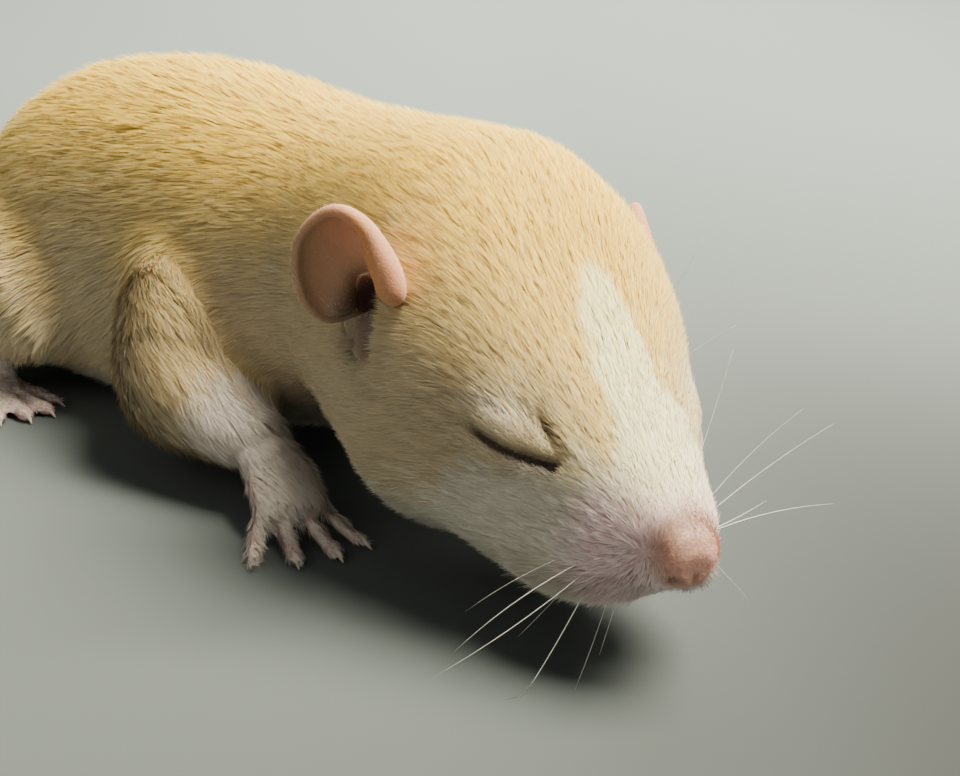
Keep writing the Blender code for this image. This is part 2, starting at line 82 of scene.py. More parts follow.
# Lights. Each row: name, place, size, power and colour
LIGHTS = (
    ("key", (0.205, -0.205, 0.54), 0.40, 19.5, (1.0, 0.94, 0.76)),
    ("fill", (-0.60, -0.10, 0.34), 0.50, 0.8, (1.0, 0.88, 0.78)),
    ("rim", (0.50, 0.35, 0.40), 0.40, 4.0, (1.0, 0.96, 0.86)),
)

# Nodes that the one skin stands for, and how far each grows to close the gaps between them
FLESH = {
    "nose": 0.2, "head": 0.2, "lower_jaw": 0.2, "eye_right": 0.2, "eye_left": 0.2, "neck": 0.2,
    "torso": 0.2, "rump": 0.2, "foreleg_right": 0.22, "foreleg_left": 0.22, "thigh_right": 0.2,
    "thigh_left": 0.2, "tail_base": 0.2, "tail_middle": 0.15, "tail_tip": 0.15,
    "forepaw_right": 0.0, "forepaw_left": 0.0, "hind_foot_right": 0.0, "hind_foot_left": 0.0,
}
PAW_REACH = 0.16
SKIN_GRAIN = 0.28
FACE_REACH = 15.0
NOSE_REACH = 3.4

# Coat along the trunk. Each row: distance behind the nose, length of the hair, how far it lifts
# off the skin in degrees, its width, and hairs on each square millimetre
TRUNK_COAT = (
    (0.0, 0.16, 22, 0.022, 20),
    (1.1, 0.20, 22, 0.024, 150),
    (2.4, 0.42, 20, 0.032, 230),
    (5.0, 0.85, 17, 0.045, 260),
    (9.0, 1.15, 14, 0.050, 250),
    (15.0, 1.45, 13, 0.055, 215),
    (25.0, 1.75, 13, 0.060, 175),
    (36.0, 2.20, 14, 0.072, 115),
    (50.0, 2.60, 15, 0.102, 63),
    (88.0, 2.40, 15, 0.116, 50),
)
# The same four values on the whisker pads and on the lids
PAD_COAT = np.array((0.72, 27, 0.046, 150))
LID_COAT = (0.62, 15, 0.042, 260)
# The same for the other pieces: hair length, lift, width and number
LIMB_COAT = {
    "foreleg": (2.10, 14, 0.060, 138),
    "forepaw": (1.35, 13, 0.046, 130),
    "thigh": (2.20, 15, 0.100, 58),
    "hind_foot": (0.80, 13, 0.055, 80),
    "tail": (0.75, 12, 0.045, 24),
}
# Where the pieces of the coat begin and end along the trunk
COAT_BANDS = (-math.inf, 10, 21, 33, 42, 66, math.inf)
LIMBS = tuple(f"{kind}_{side}" for kind in ("foreleg", "forepaw", "thigh", "hind_foot")
              for side in ("right", "left"))
UPPER_LIMBS = tuple(name for name in LIMBS if name.startswith(("foreleg", "thigh")))
PAW_NODES = tuple(name for name in LIMBS if name not in UPPER_LIMBS)
TAIL = ("tail_base", "tail_middle", "tail_tip")

# Closed eye: both corners of the seam, behind the nose and above it
LID_INNER = (7.5, 2.42)
LID_OUTER = (13.2, 2.86)

# Tail: its length, its sweep to one side, and the width of one ring of scales
TAIL_LENGTH = 50
TAIL_SWEEP = math.radians(-82)
TAIL_RING = 0.62

# Digits from the inner to the outer one: turn in degrees, length, and half thickness
FORE_DIGITS = ((-27, 3.9, 0.68), (-9, 4.9, 0.72), (8, 4.9, 0.72), (25, 4.0, 0.66))
HIND_DIGITS = ((-26, 3.9, 0.66), (-11, 5.8, 0.74), (1, 6.2, 0.76), (13, 5.7, 0.74), (30, 3.8, 0.64))
# Each pair of paws: two places along it as distance out and behind the nose, half its width
# in front, how much further in and back the left one lies, and its digits
PAWS = (
    ((13.8, 33.4), (14.8, 30.1), 2.6, (-1.8, 1.8), FORE_DIGITS),
    ((14.1, 77.6), (15.9, 65.6), 2.3, (-0.8, -2.0), HIND_DIGITS),
)
BODY_MIDDLE = 52.0
DIGIT_ROOT_DEPTH = 1.0
CLAW_LENGTH = 1.35
CLAW_RADIUS = 0.27

# Lower jaw in plan: middle, half length and half width
JAW_MIDDLE = 7.65
JAW_HALF_LENGTH = 4.75
JAW_HALF_WIDTH = 3.0

WHISKER_PAD = (2.0, 2.45, 0.35)
NOSTRIL = (0.55, 1.15, -0.62)

# White blaze: half its width at distances behind the nose
BLAZE_AT = (2.0, 4.4, 6.4, 8.6, 11.3, 13.4, 14.4, 15.1, 15.5, 15.8)
BLAZE_HALF = (6.0, 4.1, 2.7, 1.85, 1.7, 1.35, 1.0, 0.55, 0.0, -1.0)
# Height of the white of the jowl, and of the hanging edge of the upper lip and chin
JOWL_AT = (5.0, 8.0, 11.0, 13.5, 17.0, 21.0, 26.0)
JOWL_HEIGHT = (3.6, 2.4, 1.4, -1.6, -4.0, -5.5, -6.5)
LIP_AT = (1.9, 3.75, 5.3, 8.0)
LIP_HEIGHT = (-1.7, -3.0, -3.2, -4.0)

# Rounds of smoothing of the skin: everywhere, where the legs join, round both eyes and the left one
ROUNDS_ALL = 18
ROUNDS_JOINS = 300
ROUNDS_EYES = 170
ROUNDS_LEFT_EYE = 400

# Share of guard hairs, how deep a hair is rooted in the skin, and the least height of its points
GUARD_SHARE = 0.035
ROOT_DEPTH = 0.04
LOWEST_HAIR = 0.04
# Width of the streaks that hairs lean to, and their length in widths
STREAK_ACROSS = 0.34
STREAK_LENGTH = 4.0
# One hair: the corners of its two triangles, and where its points lie on the unwrap
BLADE = (0, 1, 2, 1, 3, 2)
BLADE_FLAT = np.array(((0, -1), (1, 0), (-1, 0), (0, 1))) * 0.0015


def smooth(low, high, at):
    """A soft step from 0 at low to 1 at high."""
    share = np.clip((at - low) / (high - low), 0.0, 1.0)
    return share * share * (3.0 - 2.0 * share)


def bell(distance, spread):
    """A soft hump of height 1 about distance 0."""
    return np.exp(-(distance / spread)**2)


def span(low, start, end, high, at):
    """A soft band: 0 at low, 1 from start to end, and 0 again at high."""
    return smooth(low, start, at) * (1 - smooth(end, high, at))


def on_sides(left):
    """0 along the middle of the face and 1 on its sides."""
    return smooth(3, 4, np.abs(left))


def oval(*pairs):
    """Distance from the middle of an oval in shares of its size, from pairs of distance and size."""
    return np.sqrt(sum((gap / size)**2 for gap, size in pairs))


def waves(places, size, seed):
    """A smooth random value, mostly from -1 to 1, with humps this many millimetres across."""
    rng = np.random.default_rng(seed)
    ways = unit(rng.normal(size=(8, 3))) * rng.uniform(0.6, 1.5, (8, 1)) * math.pi / size
    return np.sin(places @ ways.T + rng.uniform(0, math.tau, 8)).sum(-1) / 3


def unit(vectors):
    return vectors / np.maximum(np.linalg.norm(vectors, axis=-1, keepdims=True), 1e-9)


def dot(a, b):
    return (a * b).sum(-1, keepdims=True)


def axes_at(s):
    """Forward, left and up directions of the trunk at distances s behind the nose."""
    s = np.asarray(s, float)
    turn = HEAD_TURN * (1 - smooth(30, 52, s)) + RUMP_TURN * smooth(55, 88, s)
    dip = (HEAD_DIP * (1 - smooth(30, 46, s)) + RUMP_DIP * smooth(46, 80, s)
           + TAIL_ROOT_DIP * smooth(76, 88, s))
    forward = np.stack([-np.sin(turn) * np.cos(dip), -np.cos(turn) * np.cos(dip), -np.sin(dip)], -1)
    left = np.stack([np.cos(turn), -np.sin(turn), 0 * turn], -1)
    return forward, left, np.cross(forward, left)


NOSE_TIP = np.array(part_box("nose")[0] / METRE + NOSE_TIP_IN_BOX)
HEAD_AXES = np.stack(axes_at(0.0))
SPINE_AT = np.arange(0, TRUNK_LENGTH + 1, SPINE_STEP)
SPINE = NOSE_TIP - np.cumsum(np.vstack([np.zeros(3), axes_at(SPINE_AT[:-1] + SPINE_STEP / 2)[0]]),
                             axis=0) * SPINE_STEP


def head_coordinates(places):
    """Distance behind the nose tip, to its left and above it, in the head's directions."""
    return (places - NOSE_TIP) @ HEAD_AXES.T * (-1, 1, 1)


def head_place(behind, left, up):
    """A place given in head coordinates."""
    return NOSE_TIP + np.array((-behind, left, up)) @ HEAD_AXES


def along_trunk(places):
    """Distance behind the nose of each place, along the trunk's middle line."""
    found = []
    for some in np.array_split(places, len(places) // 20000 + 1):
        gaps = ((some[:, None, :] - SPINE[None, ::4, :])**2).sum(-1)
        s = SPINE_AT[::4][gaps.argmin(1)]
        for _ in range(3):
            s = np.clip(s - dot(some - spine_at(s), axes_at(s)[0])[:, 0], 0, SPINE_AT[-1])
        found.append(s)
    return np.concatenate(found)


def spine_at(s):
    return np.stack([np.interp(s, SPINE_AT, SPINE[:, i]) for i in range(3)], -1)


def round_trunk(places, s):
    """Angle of each place from the crown round to the belly, positive on its left."""
    _, left, up = axes_at(s)
    off = places - spine_at(s)
    return np.arctan2(dot(off, left)[:, 0], dot(off, up)[:, 0])


def node_copy(name):
    """A CAD node's mesh with its loose triangles joined."""
    bm = bmesh.new()
    bm.from_mesh(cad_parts[name].data)
    bmesh.ops.remove_doubles(bm, verts=bm.verts, dist=1e-7)
    bm.normal_update()
    return bm


def mesh_of(bm, name):
    """A new mesh from a bmesh, which is freed."""
    mesh = bpy.data.meshes.new(name)
    bm.to_mesh(mesh)
    bm.free()
    return mesh


def join_to(whole, bm):
    """Adds one form to a larger bmesh, and frees it."""
    mesh = mesh_of(bm, "form")
    whole.from_mesh(mesh)
    bpy.data.meshes.remove(mesh)


def write_layer(mesh, name, values):
    """Writes one number or one colour for each vertex as an attribute of the mesh."""
    kind, key = ("FLOAT", "value") if values.ndim == 1 else ("FLOAT_COLOR", "color")
    mesh.attributes.new(name, kind, "POINT").data.foreach_set(key, values.astype(np.float32).ravel())


def read_rows(items, key, width, kind=np.float32):
    """A row of values for each vertex, edge or triangle of a mesh."""
    rows = np.empty(len(items) * width, kind)
    items.foreach_get(key, rows)
    return rows.reshape(-1, width)


def places_of(mesh):
    return read_rows(mesh.vertices, "co", 3).astype(float) / METRE


def normals_of(mesh):
    return read_rows(mesh.vertex_normals, "vector", 3).astype(float)


def set_places(mesh, places):
    mesh.vertices.foreach_set("co", (places * METRE).astype(np.float32).ravel())
    mesh.update()


def triangles_of(mesh, places):
    """The corners of each triangle of a mesh, and its area."""
    mesh.calc_loop_triangles()
    faces = read_rows(mesh.loop_triangles, "vertices", 3, np.int32)
    a, b, c = places[faces].transpose(1, 0, 2)
    return faces, np.linalg.norm(np.cross(b - a, c - a), axis=1) / 2


def scattered(number, rng):
    """Random places on triangles: which triangle each lies on, and its shares of the corners."""
    face = np.repeat(np.arange(len(number)), rng.poisson(number))
    a, b = rng.random((2, len(face)))
    over = a + b > 1
    a, b = np.where(over, 1 - a, a), np.where(over, 1 - b, b)
    return face, np.stack([1 - a - b, a, b], -1)


def new_object(name, mesh):
    piece = bpy.data.objects.new(name, mesh)
    bpy.context.scene.collection.objects.link(piece)
    return piece


def finished(piece, slot, material, nodes=()):
    """Gives a piece its material and the nodes that it stands for; the slot is not used."""
    piece.data.materials.clear()
    piece.data.materials.append(material)
    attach(piece, "root")
    if nodes:
        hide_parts(*nodes)
    return piece


class Value:
    """A socket of a material's nodes that Python expressions can use."""

    def __init__(self, paint, socket):
        self.paint = paint
        self.socket = socket

    def math(self, operation, *others):
        inputs = dict(enumerate((self, *others)))
        return self.paint.add("ShaderNodeMath", {"operation": operation}, inputs)

    def __add__(self, other):
        return self.math("ADD", other)

    def __sub__(self, other):
        return self.math("SUBTRACT", other)

    def __rsub__(self, other):
        return self * -1 + other

    def __mul__(self, other):
        return self.math("MULTIPLY", other)

    def __truediv__(self, other):
        return self.math("DIVIDE", other)

    def __pow__(self, other):
        return self.math("POWER", other)

    __radd__ = __add__
    __rmul__ = __mul__

    def between(self, low, high):
        """A soft step from 0 at low to 1 at high."""
        settings = {"interpolation_type": "SMOOTHSTEP"}
        return self.paint.add("ShaderNodeMapRange", settings,
                              {"Value": self, "From Min": low, "From Max": high})


class Paint:
    """A material whose nodes are added by short calls."""

    def __init__(self, name, **constants):
        self.material = bpy.data.materials.new(name)
        self.material.use_nodes = True
        self.nodes = self.material.node_tree.nodes
        self.links = self.material.node_tree.links
        self.shader = self.nodes["Principled BSDF"]
        for key, value in constants.items():
            self.shader.inputs[key.replace("_", " ")].default_value = value

    def add(self, kind, settings=None, values=None, output=0):
        """One node of a type, with its settings and the values or links of its sockets."""
        node = self.nodes.new(kind)
        for key, value in (settings or {}).items():
            setattr(node, key, value)
        for key, value in (values or {}).items():
            self.feed(node.inputs[key], value)
        return Value(self, node.outputs[output])

    def feed(self, socket, value):
        if isinstance(value, Value):
            self.links.new(value.socket, socket)
        elif isinstance(value, tuple) and len(value) == 3 and socket.type == "RGBA":
            socket.default_value = (*value, 1.0)
        else:
            socket.default_value = value

    def place(self):
        return self.add("ShaderNodeTexCoord", output="Object")

    def attribute(self, name, output="Fac"):
        return self.add("ShaderNodeAttribute", {"attribute_name": name}, output=output)

    def marks(self):
        """The three channels and the alpha of the marks on a mesh."""
        split = self.add("ShaderNodeSeparateColor", values={"Color": self.attribute("marks", "Color")})
        node = split.socket.node
        return [Value(self, node.outputs[i]) for i in range(3)] + [self.attribute("marks", "Alpha")]

    def noise(self, size, detail=2.0):
        """Cloudy noise whose humps are about this many millimetres across."""
        values = {"Vector": self.place(), "Scale": 1 / (size * METRE), "Detail": detail}
        return self.add("ShaderNodeTexNoise", {}, values)

    def measure(self, operation, vector):
        """Each place's distance from a point in metres, or its distance along a direction."""
        values = {0: self.place(), 1: tuple(vector)}
        return self.add("ShaderNodeVectorMath", {"operation": operation}, values, output=1)

    def nose_top(self):
        """From 0 on the front of the nose to 1 on its top."""
        height = self.add("ShaderNodeSeparateXYZ", values={"Vector": self.place()}, output=2)
        return height.between(*NOSE_TOP_HEIGHT)

    def past_nose(self):
        """How far past the bare nose each place is, from 0 on it to 1 on the whisker pads."""
        gap = self.measure("DISTANCE", head_place(0.0, 0.0, 1.2) * METRE)
        return gap.between(*NOSE_BARE_REACH)

    def mix(self, share, a, b):
        return self.add("ShaderNodeMix", {"data_type": "RGBA"}, {0: share, 6: a, 7: b}, output=2)

    def finish(self, colour, roughness=None, bump=None, depth=0.1):
        """Joins the colour, roughness and bump to the shader; depth is the bump's height in mm."""
        self.feed(self.shader.inputs["Base Color"], colour)
        if roughness is not None:
            self.feed(self.shader.inputs["Roughness"], roughness)
        if bump is not None:
            values = {"Height": bump, "Distance": depth * METRE, "Strength": 1.0}
            self.feed(self.shader.inputs["Normal"], self.add("ShaderNodeBump", {}, values))
        return self.material


# Colours
# Top colours (GOLD, CREAM) and side colours (FAWN, WHITE): partly the coat's own warmer back, partly
# painted light, brighter and warmer where the key light falls
GOLD_LIGHT = (0.95, 0.65, 0.06)
GOLD_DEEP = (0.80, 0.50, 0.08)
FAWN_LIGHT = (0.64, 0.53, 0.35)
FAWN_DEEP = (0.43, 0.35, 0.23)
CREAM_LIGHT = (1.0, 0.94, 0.42)
CREAM_DEEP = (0.90, 0.82, 0.38)
WHITE_LIGHT = (0.78, 0.74, 0.64)
WHITE_DEEP = (0.56, 0.52, 0.44)
MAUVE_HAIR = (1.0, 0.84, 0.85)
MAUVE_DEEP = (0.66, 0.45, 0.46)
NOSE_HAIR = (0.72, 0.46, 0.37)
NOSE_DEEP = (0.54, 0.32, 0.26)
NOSE_TOP_HAIR = (0.40, 0.235, 0.17)
NOSE_TOP_DEEP = (0.33, 0.175, 0.13)
LIMB_WHITE = (1.0, 0.93, 0.85)
LIMB_DEEP = (0.72, 0.62, 0.55)
UNDER_GOLD = (0.80, 0.55, 0.14)
UNDER_FAWN = (0.52, 0.41, 0.23)
UNDER_WHITE = (0.80, 0.66, 0.46)
# Dark brown of the lids' seam, also used as painted shade in creases, the mouth, nostrils and ear canal
SEAM_AND_SHADE_BROWN = (0.055, 0.028, 0.018)
# Colours in pairs, which a mottle mixes
NOSE_SKIN = ((0.56, 0.29, 0.23), (0.62, 0.34, 0.27))
NOSE_TOP_SKIN = ((0.36, 0.20, 0.15), (0.42, 0.25, 0.19))
PAW_SKIN = ((0.60, 0.40, 0.38), (0.74, 0.52, 0.48))
EAR_SKIN = ((0.38, 0.23, 0.13), (0.46, 0.29, 0.17))
WHISKER_WHITE = ((0.80, 0.77, 0.72), (0.95, 0.93, 0.88))
CLAW_HORN = ((0.72, 0.58, 0.48), (0.86, 0.76, 0.66))
PAD_SKIN = (0.72, 0.52, 0.51)
TAIL_SCALE = (0.62, 0.44, 0.38)
EAR_HOLLOW = (0.66, 0.42, 0.27)
# Warm skin of the ear's fold, with a painted glow of light shining through it
EAR_FOLD_AND_GLOW = (0.76, 0.30, 0.08)
EAR_EDGE = (0.64, 0.30, 0.17)
EAR_GREY = (0.20, 0.14, 0.11)
# Painted shade of the deep ear canal
EAR_CANAL_SHADE = (0.030, 0.007, 0.005)
SKY = (0.70, 0.80, 0.80, 1.0)
# In metres: heights between which the nose turns darker, and the reach of its bare skin
NOSE_TOP_HEIGHT = (0.0082, 0.0102)
NOSE_BARE_REACH = (0.0019, 0.0037)


def flesh_with_no_gaps():
    """All nodes of flesh, grown until they meet and made one even net of faces."""
    whole = bmesh.new()
    legs = {name: BVHTree.FromBMesh(node_copy(name)) for name in UPPER_LIMBS}
    for name, reach in FLESH.items():
        part = node_copy(name)
        leg = legs.get(name.replace("forepaw", "foreleg").replace("hind_foot", "thigh"))
        for vertex in part.verts:
            grown = reach
            if reach == 0.0:
                gap = leg.find_nearest(vertex.co)[3] / METRE
                grown = PAW_REACH * float(1 - smooth(0.5, 2.0, gap))
            vertex.co += vertex.normal * grown * METRE
        join_to(whole, part)
    piece = new_object("skin", mesh_of(whole, "skin"))
    remesh = piece.modifiers.new("even", "REMESH")
    remesh.mode = "VOXEL"
    remesh.voxel_size = SKIN_GRAIN * METRE
    even = bpy.data.meshes.new_from_object(piece.evaluated_get(bpy.context.evaluated_depsgraph_get()))
    piece.modifiers.clear()
    piece.data = even
    return piece


def spread(values, edges, rounds, share=0.5):
    """Values at the vertices, mixed with their neighbours' a number of times."""
    flat = values.reshape(len(values), -1).astype(float)
    share = np.broadcast_to(np.asarray(share, float), (len(flat),))
    used, ends = np.unique(edges[(share[edges] > 1e-4).any(1)], return_inverse=True)
    first, second = ends.reshape(-1, 2).T
    ends, others = np.concatenate([first, second]), np.concatenate([second, first])
    count = np.maximum(np.bincount(ends, minlength=len(used)), 1)
    some, share = flat[used], share[used]
    for _ in range(rounds):
        for i in range(some.shape[1]):
            mean = np.bincount(ends, some[others, i], minlength=len(used)) / count
            some[:, i] += (mean - some[:, i]) * share
    flat[used] = some
    return flat.reshape(values.shape)


def nearest_nodes(places):
    """The flesh node nearest to each place, as its number in FLESH."""
    corners, faces, owners = [], [], []
    for number, name in enumerate(FLESH):
        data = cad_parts[name].data
        start = len(corners)
        corners.extend(vertex.co.copy() for vertex in data.vertices)
        faces.extend([start + i for i in face.vertices] for face in data.polygons)
        owners.extend([number] * len(data.polygons))
    tree = BVHTree.FromPolygons(corners, faces)
    return np.array([owners[tree.find_nearest(Vector(place * METRE))[2]] for place in places])


def refine(mesh, reach):
    """Halves the faces within reach of the nose tip."""
    bm = bmesh.new()
    bm.from_mesh(mesh)
    tip = Vector(NOSE_TIP) * METRE
    near = {vertex for vertex in bm.verts if (vertex.co - tip).length < reach * METRE}
    edges = [edge for edge in bm.edges if edge.verts[0] in near and edge.verts[1] in near]
    bmesh.ops.subdivide_edges(bm, edges=edges, cuts=1, use_grid_fill=True)
    bmesh.ops.triangulate(bm, faces=[face for face in bm.faces if len(face.verts) > 4])
    bm.to_mesh(mesh)
    bm.free()


def lid_line(s, up):
    """How far along the closed lids' seam a place is, and how far above the seam."""
    share = (s - LID_INNER[0]) / (LID_OUTER[0] - LID_INNER[0])
    return share, up - (LID_INNER[1] + (LID_OUTER[1] - LID_INNER[1]) * share)


# Rim of an ear. Each row: degrees from its outer side over the top, distance from the middle of
# the cup, radius of the rolled edge, and how far the rim stands forward of the cup's plane
EAR_RIM = (
    (-75, 3.30, 0.22, -1.3),
    (-59, 3.65, 0.24, -0.5),
    (-30, 3.43, 0.25, 0.0),
    (-5, 3.20, 0.26, 0.0),
    (24, 3.30, 0.28, 0.0),
    (60, 3.80, 0.31, 0.0),
    (94, 4.40, 0.40, 0.1),
    (120, 3.90, 0.70, 0.3),
    (146, 3.38, 0.92, 0.5),
    (170, 3.40, 0.98, 0.7),
    (190, 3.60, 1.00, 0.8),
    (207, 3.80, 1.04, 0.8),
    (220, 3.60, 0.80, 0.4),
    (233, 3.00, 0.32, -0.9),
    (260, 3.00, 0.20, -1.7),
)
EAR_CENTRE = {-1: (21.8, 12.2, 7.9), 1: (25.6, 11.2, 5.8)}
EAR_UP = {-1: (-0.18, 0.28, 0.94), 1: (-0.48, 0.10, 0.87)}
EAR_OUT = {-1: (-0.52, 0.80, -0.30), 1: (-0.78, 0.60, -0.20)}
EAR_CUP_AT = (-0.4, 0.3)
EAR_DEPTH = 2.0
EAR_ROUNDS = 60
# Points of a section of the ear before the inside of its cup
EAR_OUTER_POINTS = 11
# Hair on the ears: its length, lift in degrees, width, and hairs on each square millimetre
EAR_FUZZ = (0.28, 18, 0.018, 62)


def ear_axes(side):
    """Centre of an ear's cup, and its outward, upward and facing directions."""
    def turned(vector):
        return unit(np.array((vector[0], vector[1] * side, vector[2])) @ HEAD_AXES)

    tall, out = turned(EAR_UP[side]), turned(EAR_OUT[side])
    out = unit(out - tall * out.dot(tall))
    facing = np.cross(tall, out)
    facing = facing * np.sign(facing.dot(HEAD_AXES[0]))
    behind, beside, above = EAR_CENTRE[side]
    return head_place(behind, side * beside, above), out, tall, facing


def by_ear(places):
    """Distances from the cup of the ear on the same side: across, up and ahead; and which are right."""
    right = head_coordinates(places)[:, 1] < 0
    found = []
    for side in (-1, 1):
        centre, sideways, tall, facing = ear_axes(side)
        off = places - centre
        found.append(np.stack([off @ sideways, off @ tall, off @ facing], -1))
    across, upward, ahead = np.where(right[:, None], found[0], found[1]).T
    return across, upward, ahead, right


def inside_ear(places):
    """How far inside the cup of an ear each place of the head is."""
    across, upward, ahead, right = by_ear(places)
    near = (ahead > np.where(right, -3.6, -2.0)) & (ahead < 3.0)
    from_middle = oval((across - EAR_CUP_AT[0], 3.2), (upward - EAR_CUP_AT[1], 4.0))
    return near * (1 - smooth(0.8, 1.1, from_middle))


def ear_forms(places):
    """The canal and its low end, both painted dark as shade, and the grey lobe below the ear."""
    across, upward, ahead, right = by_ear(places)
    near = (ahead > np.where(right, -3.6, 0.3)) & (ahead < 3.0)
    canal = bell(across + 1.0, 0.75) * bell(upward + 2.6, 1.3)
    low = bell(across + 0.75, 0.55) * bell(upward + 4.4, 0.85)
    lobe = 1 - smooth(0.75, 1.1, oval((across + 0.1, 1.5), (upward + 3.6, 2.1)))
    return canal * np.where(right, near, inside_ear(places)), low * near, lobe * near


def fold_gap(behind, up):
    """Distance from the small fold that runs up and back from the front of the right lids."""
    return 0.6 * (behind - 10.2 - 1.33 * (up - 4.85))


def lid_fold(behind, up, shift, width, middle, half):
    """How near a place is to that fold, and to the height of its middle."""
    return bell(fold_gap(behind, up) + shift, width) * bell(up - middle, half)


def mouth_line(s, left, up):
    """Distance from the line of the lips, and how much of it is there."""
    away = (oval((s - JAW_MIDDLE, JAW_HALF_LENGTH), (left, JAW_HALF_WIDTH)) - 1) * JAW_HALF_WIDTH
    return away, span(1.0, 2.0, 8.5, 11, s) * (1 - smooth(-2.4, -1.8, up))


def sculpt_face(places, normals):
    """Lids, lips, nostrils and whisker pads, as moves along the skin's normals."""
    s, left, up = head_coordinates(places).T
    out = np.abs(left)
    share, above = lid_line(s, up)
    on_side = on_sides(left)
    on_right = on_side * (left < 0)
    lids = span(-0.08, 0.06, 0.84, 1.04, share) * on_side
    rise = lids * (0.10 * bell(above - 1.1, 0.7) + 0.06 * bell(above + 0.8, 0.4))
    rise -= lids * bell(above, 0.30) * (0.36 - 0.18 * share)
    rise -= on_right * 0.26 * lid_fold(s, up, 0, 0.22, 3.95, 0.6)
    rise -= on_right * 0.10 * lid_fold(s, up, 0, 0.30, 3.1, 0.6)
    rise -= on_side * 0.14 * bell(s - 14.2, 0.28) * bell(up - 3.9, 0.45)
    away, lips = mouth_line(s, left, up)
    rise -= lips * 0.42 * bell(away, 0.22)
    rise += lips * 0.14 * bell(away - 0.55, 0.4)
    pit = oval((s - NOSTRIL[0], 0.42), (out - NOSTRIL[1], 0.36), (up - NOSTRIL[2], 0.26))
    slit = bell(s - 0.95, 0.42) * bell(up - NOSTRIL[2] + 0.12, 0.14) * bell(out - 1.75, 0.42)
    rise -= 0.42 * np.exp(-pit**2) + 0.14 * slit
    rise += 0.05 * bell(pit - 1.5, 0.6)
    rise -= 0.14 * bell(left, 0.20) * (1 - smooth(1.6, 2.8, s)) * (1 - smooth(-0.7, 0.0, up))
    rise += 0.16 * bell(s - 4.4, 1.6) * bell(out - 3.3, 1.3) * bell(up + 0.9, 1.9)
    for row in range(4):
        for step in range(5):
            bump_at = (2.6 + 1.05 * step, 1.2 - 0.95 * row - 0.12 * step)
            mound = bell(s - bump_at[0], 0.24) * bell(up - bump_at[1], 0.22)
            rise += 0.09 * mound * smooth(1.5, 2.2, out)
    canal, low, lobe = ear_forms(places)
    rise += 0.30 * lobe - 1.3 * canal - 0.7 * low - 1.1 * inside_ear(places) * (left > 0)
    return places + normals * rise[:, None]


def owned(owner, *names):
    """Which vertices or roots belong to any of the named nodes."""
    return np.isin(owner, [list(FLESH).index(name) for name in names])


def coat_values(owner, s, places):
    """Length, lift, width and number of the hairs, before they are blended over the skin."""
    table = np.array(TRUNK_COAT)
    values = np.stack([np.interp(s, table[:, 0], table[:, i]) for i in range(1, 5)], -1)
    for name in LIMBS + TAIL:
        mine = owned(owner, name)
        values[mine] = LIMB_COAT["tail" if name in TAIL else name.rsplit("_", 1)[0]]
        if name in PAW_NODES:
            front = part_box(name)[0].y / METRE
            toes = 1 - smooth(front + 1.0, front + 6.5, places[mine, 1])
            values[mine, 0] *= 1 - 0.62 * toes
    values[owned(owner, "lower_jaw"), :2] *= (0.85, 1.5)
    values[owned(owner, "eye_right", "eye_left")] = LID_COAT
    return values


def limb_ways():
    """The way that the hair lies on each leg, paw and length of tail."""
    ways = {}
    middle = {name: np.array(sum(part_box(name), Vector()) / 2 / METRE) for name in LIMBS + TAIL}
    for side in ("right", "left"):
        reach = middle[f"forepaw_{side}"] - middle[f"foreleg_{side}"]
        ways[f"foreleg_{side}"] = unit(reach)
        ways[f"forepaw_{side}"] = unit(np.array((reach[0] * 0.4, reach[1], -0.25 * abs(reach[1]))))
        ways[f"thigh_{side}"] = unit(np.array((0.0, 0.62, -0.62)))
        ways[f"hind_foot_{side}"] = unit(np.array((0.0, -1.0, -0.1)))
    ways["tail_base"] = unit(middle["tail_middle"] - middle["tail_base"])
    ways["tail_middle"] = unit(middle["tail_tip"] - middle["tail_base"])
    ways["tail_tip"] = unit(middle["tail_tip"] - middle["tail_middle"])
    return ways


def lie_of_coat(owner, s, places):
    """Direction of the hair at each place, before it is laid on the skin."""
    forward, _, up = axes_at(s)
    round_body = round_trunk(places, s)
    fall = 0.42 * np.sin(np.abs(round_body)) * smooth(9, 22, s)
    way = -forward - up * fall[:, None]
    for name, direction in limb_ways().items():
        way[owned(owner, name)] = direction
    behind, left, height = head_coordinates(places).T
    side = np.sign(left)
    pad = np.stack([behind - WHISKER_PAD[0], left - side * WHISKER_PAD[1], height - WHISKER_PAD[2]], -1)
    near_pad = 1.3 * bell(np.linalg.norm(pad, axis=1), 3.0)
    star = unit(pad * (-1, 1, 1)) @ HEAD_AXES
    share, above = lid_line(behind, height)
    along_lids = span(-0.2, 0, 1, 1.2, share) * on_sides(left)
    parting = 0.30 * bell(above, 0.9) * along_lids * np.sign(above)
    swirl = np.stack([waves(places, 7.0, SEED + number) for number in (11, 12, 13)], -1)
    return way + star * near_pad[:, None] + up * parting[:, None] + 0.10 * swirl


def pad_distance(behind, left, up):
    """Distance from the middle of the nearer whisker pad."""
    return np.sqrt((behind - 2.9)**2 + (np.abs(left) - 2.6)**2 * 0.7 + (up + 0.3)**2)


def lip_edge(behind, out, up):
    """The lower edge of the upper lip and chin, where the hair is longer and hangs down."""
    line = np.interp(behind, LIP_AT, LIP_HEIGHT)
    return bell(up - line, 0.9) * span(1.2, 2.4, 6.5, 9.0, behind) * smooth(0.8, 1.8, out)


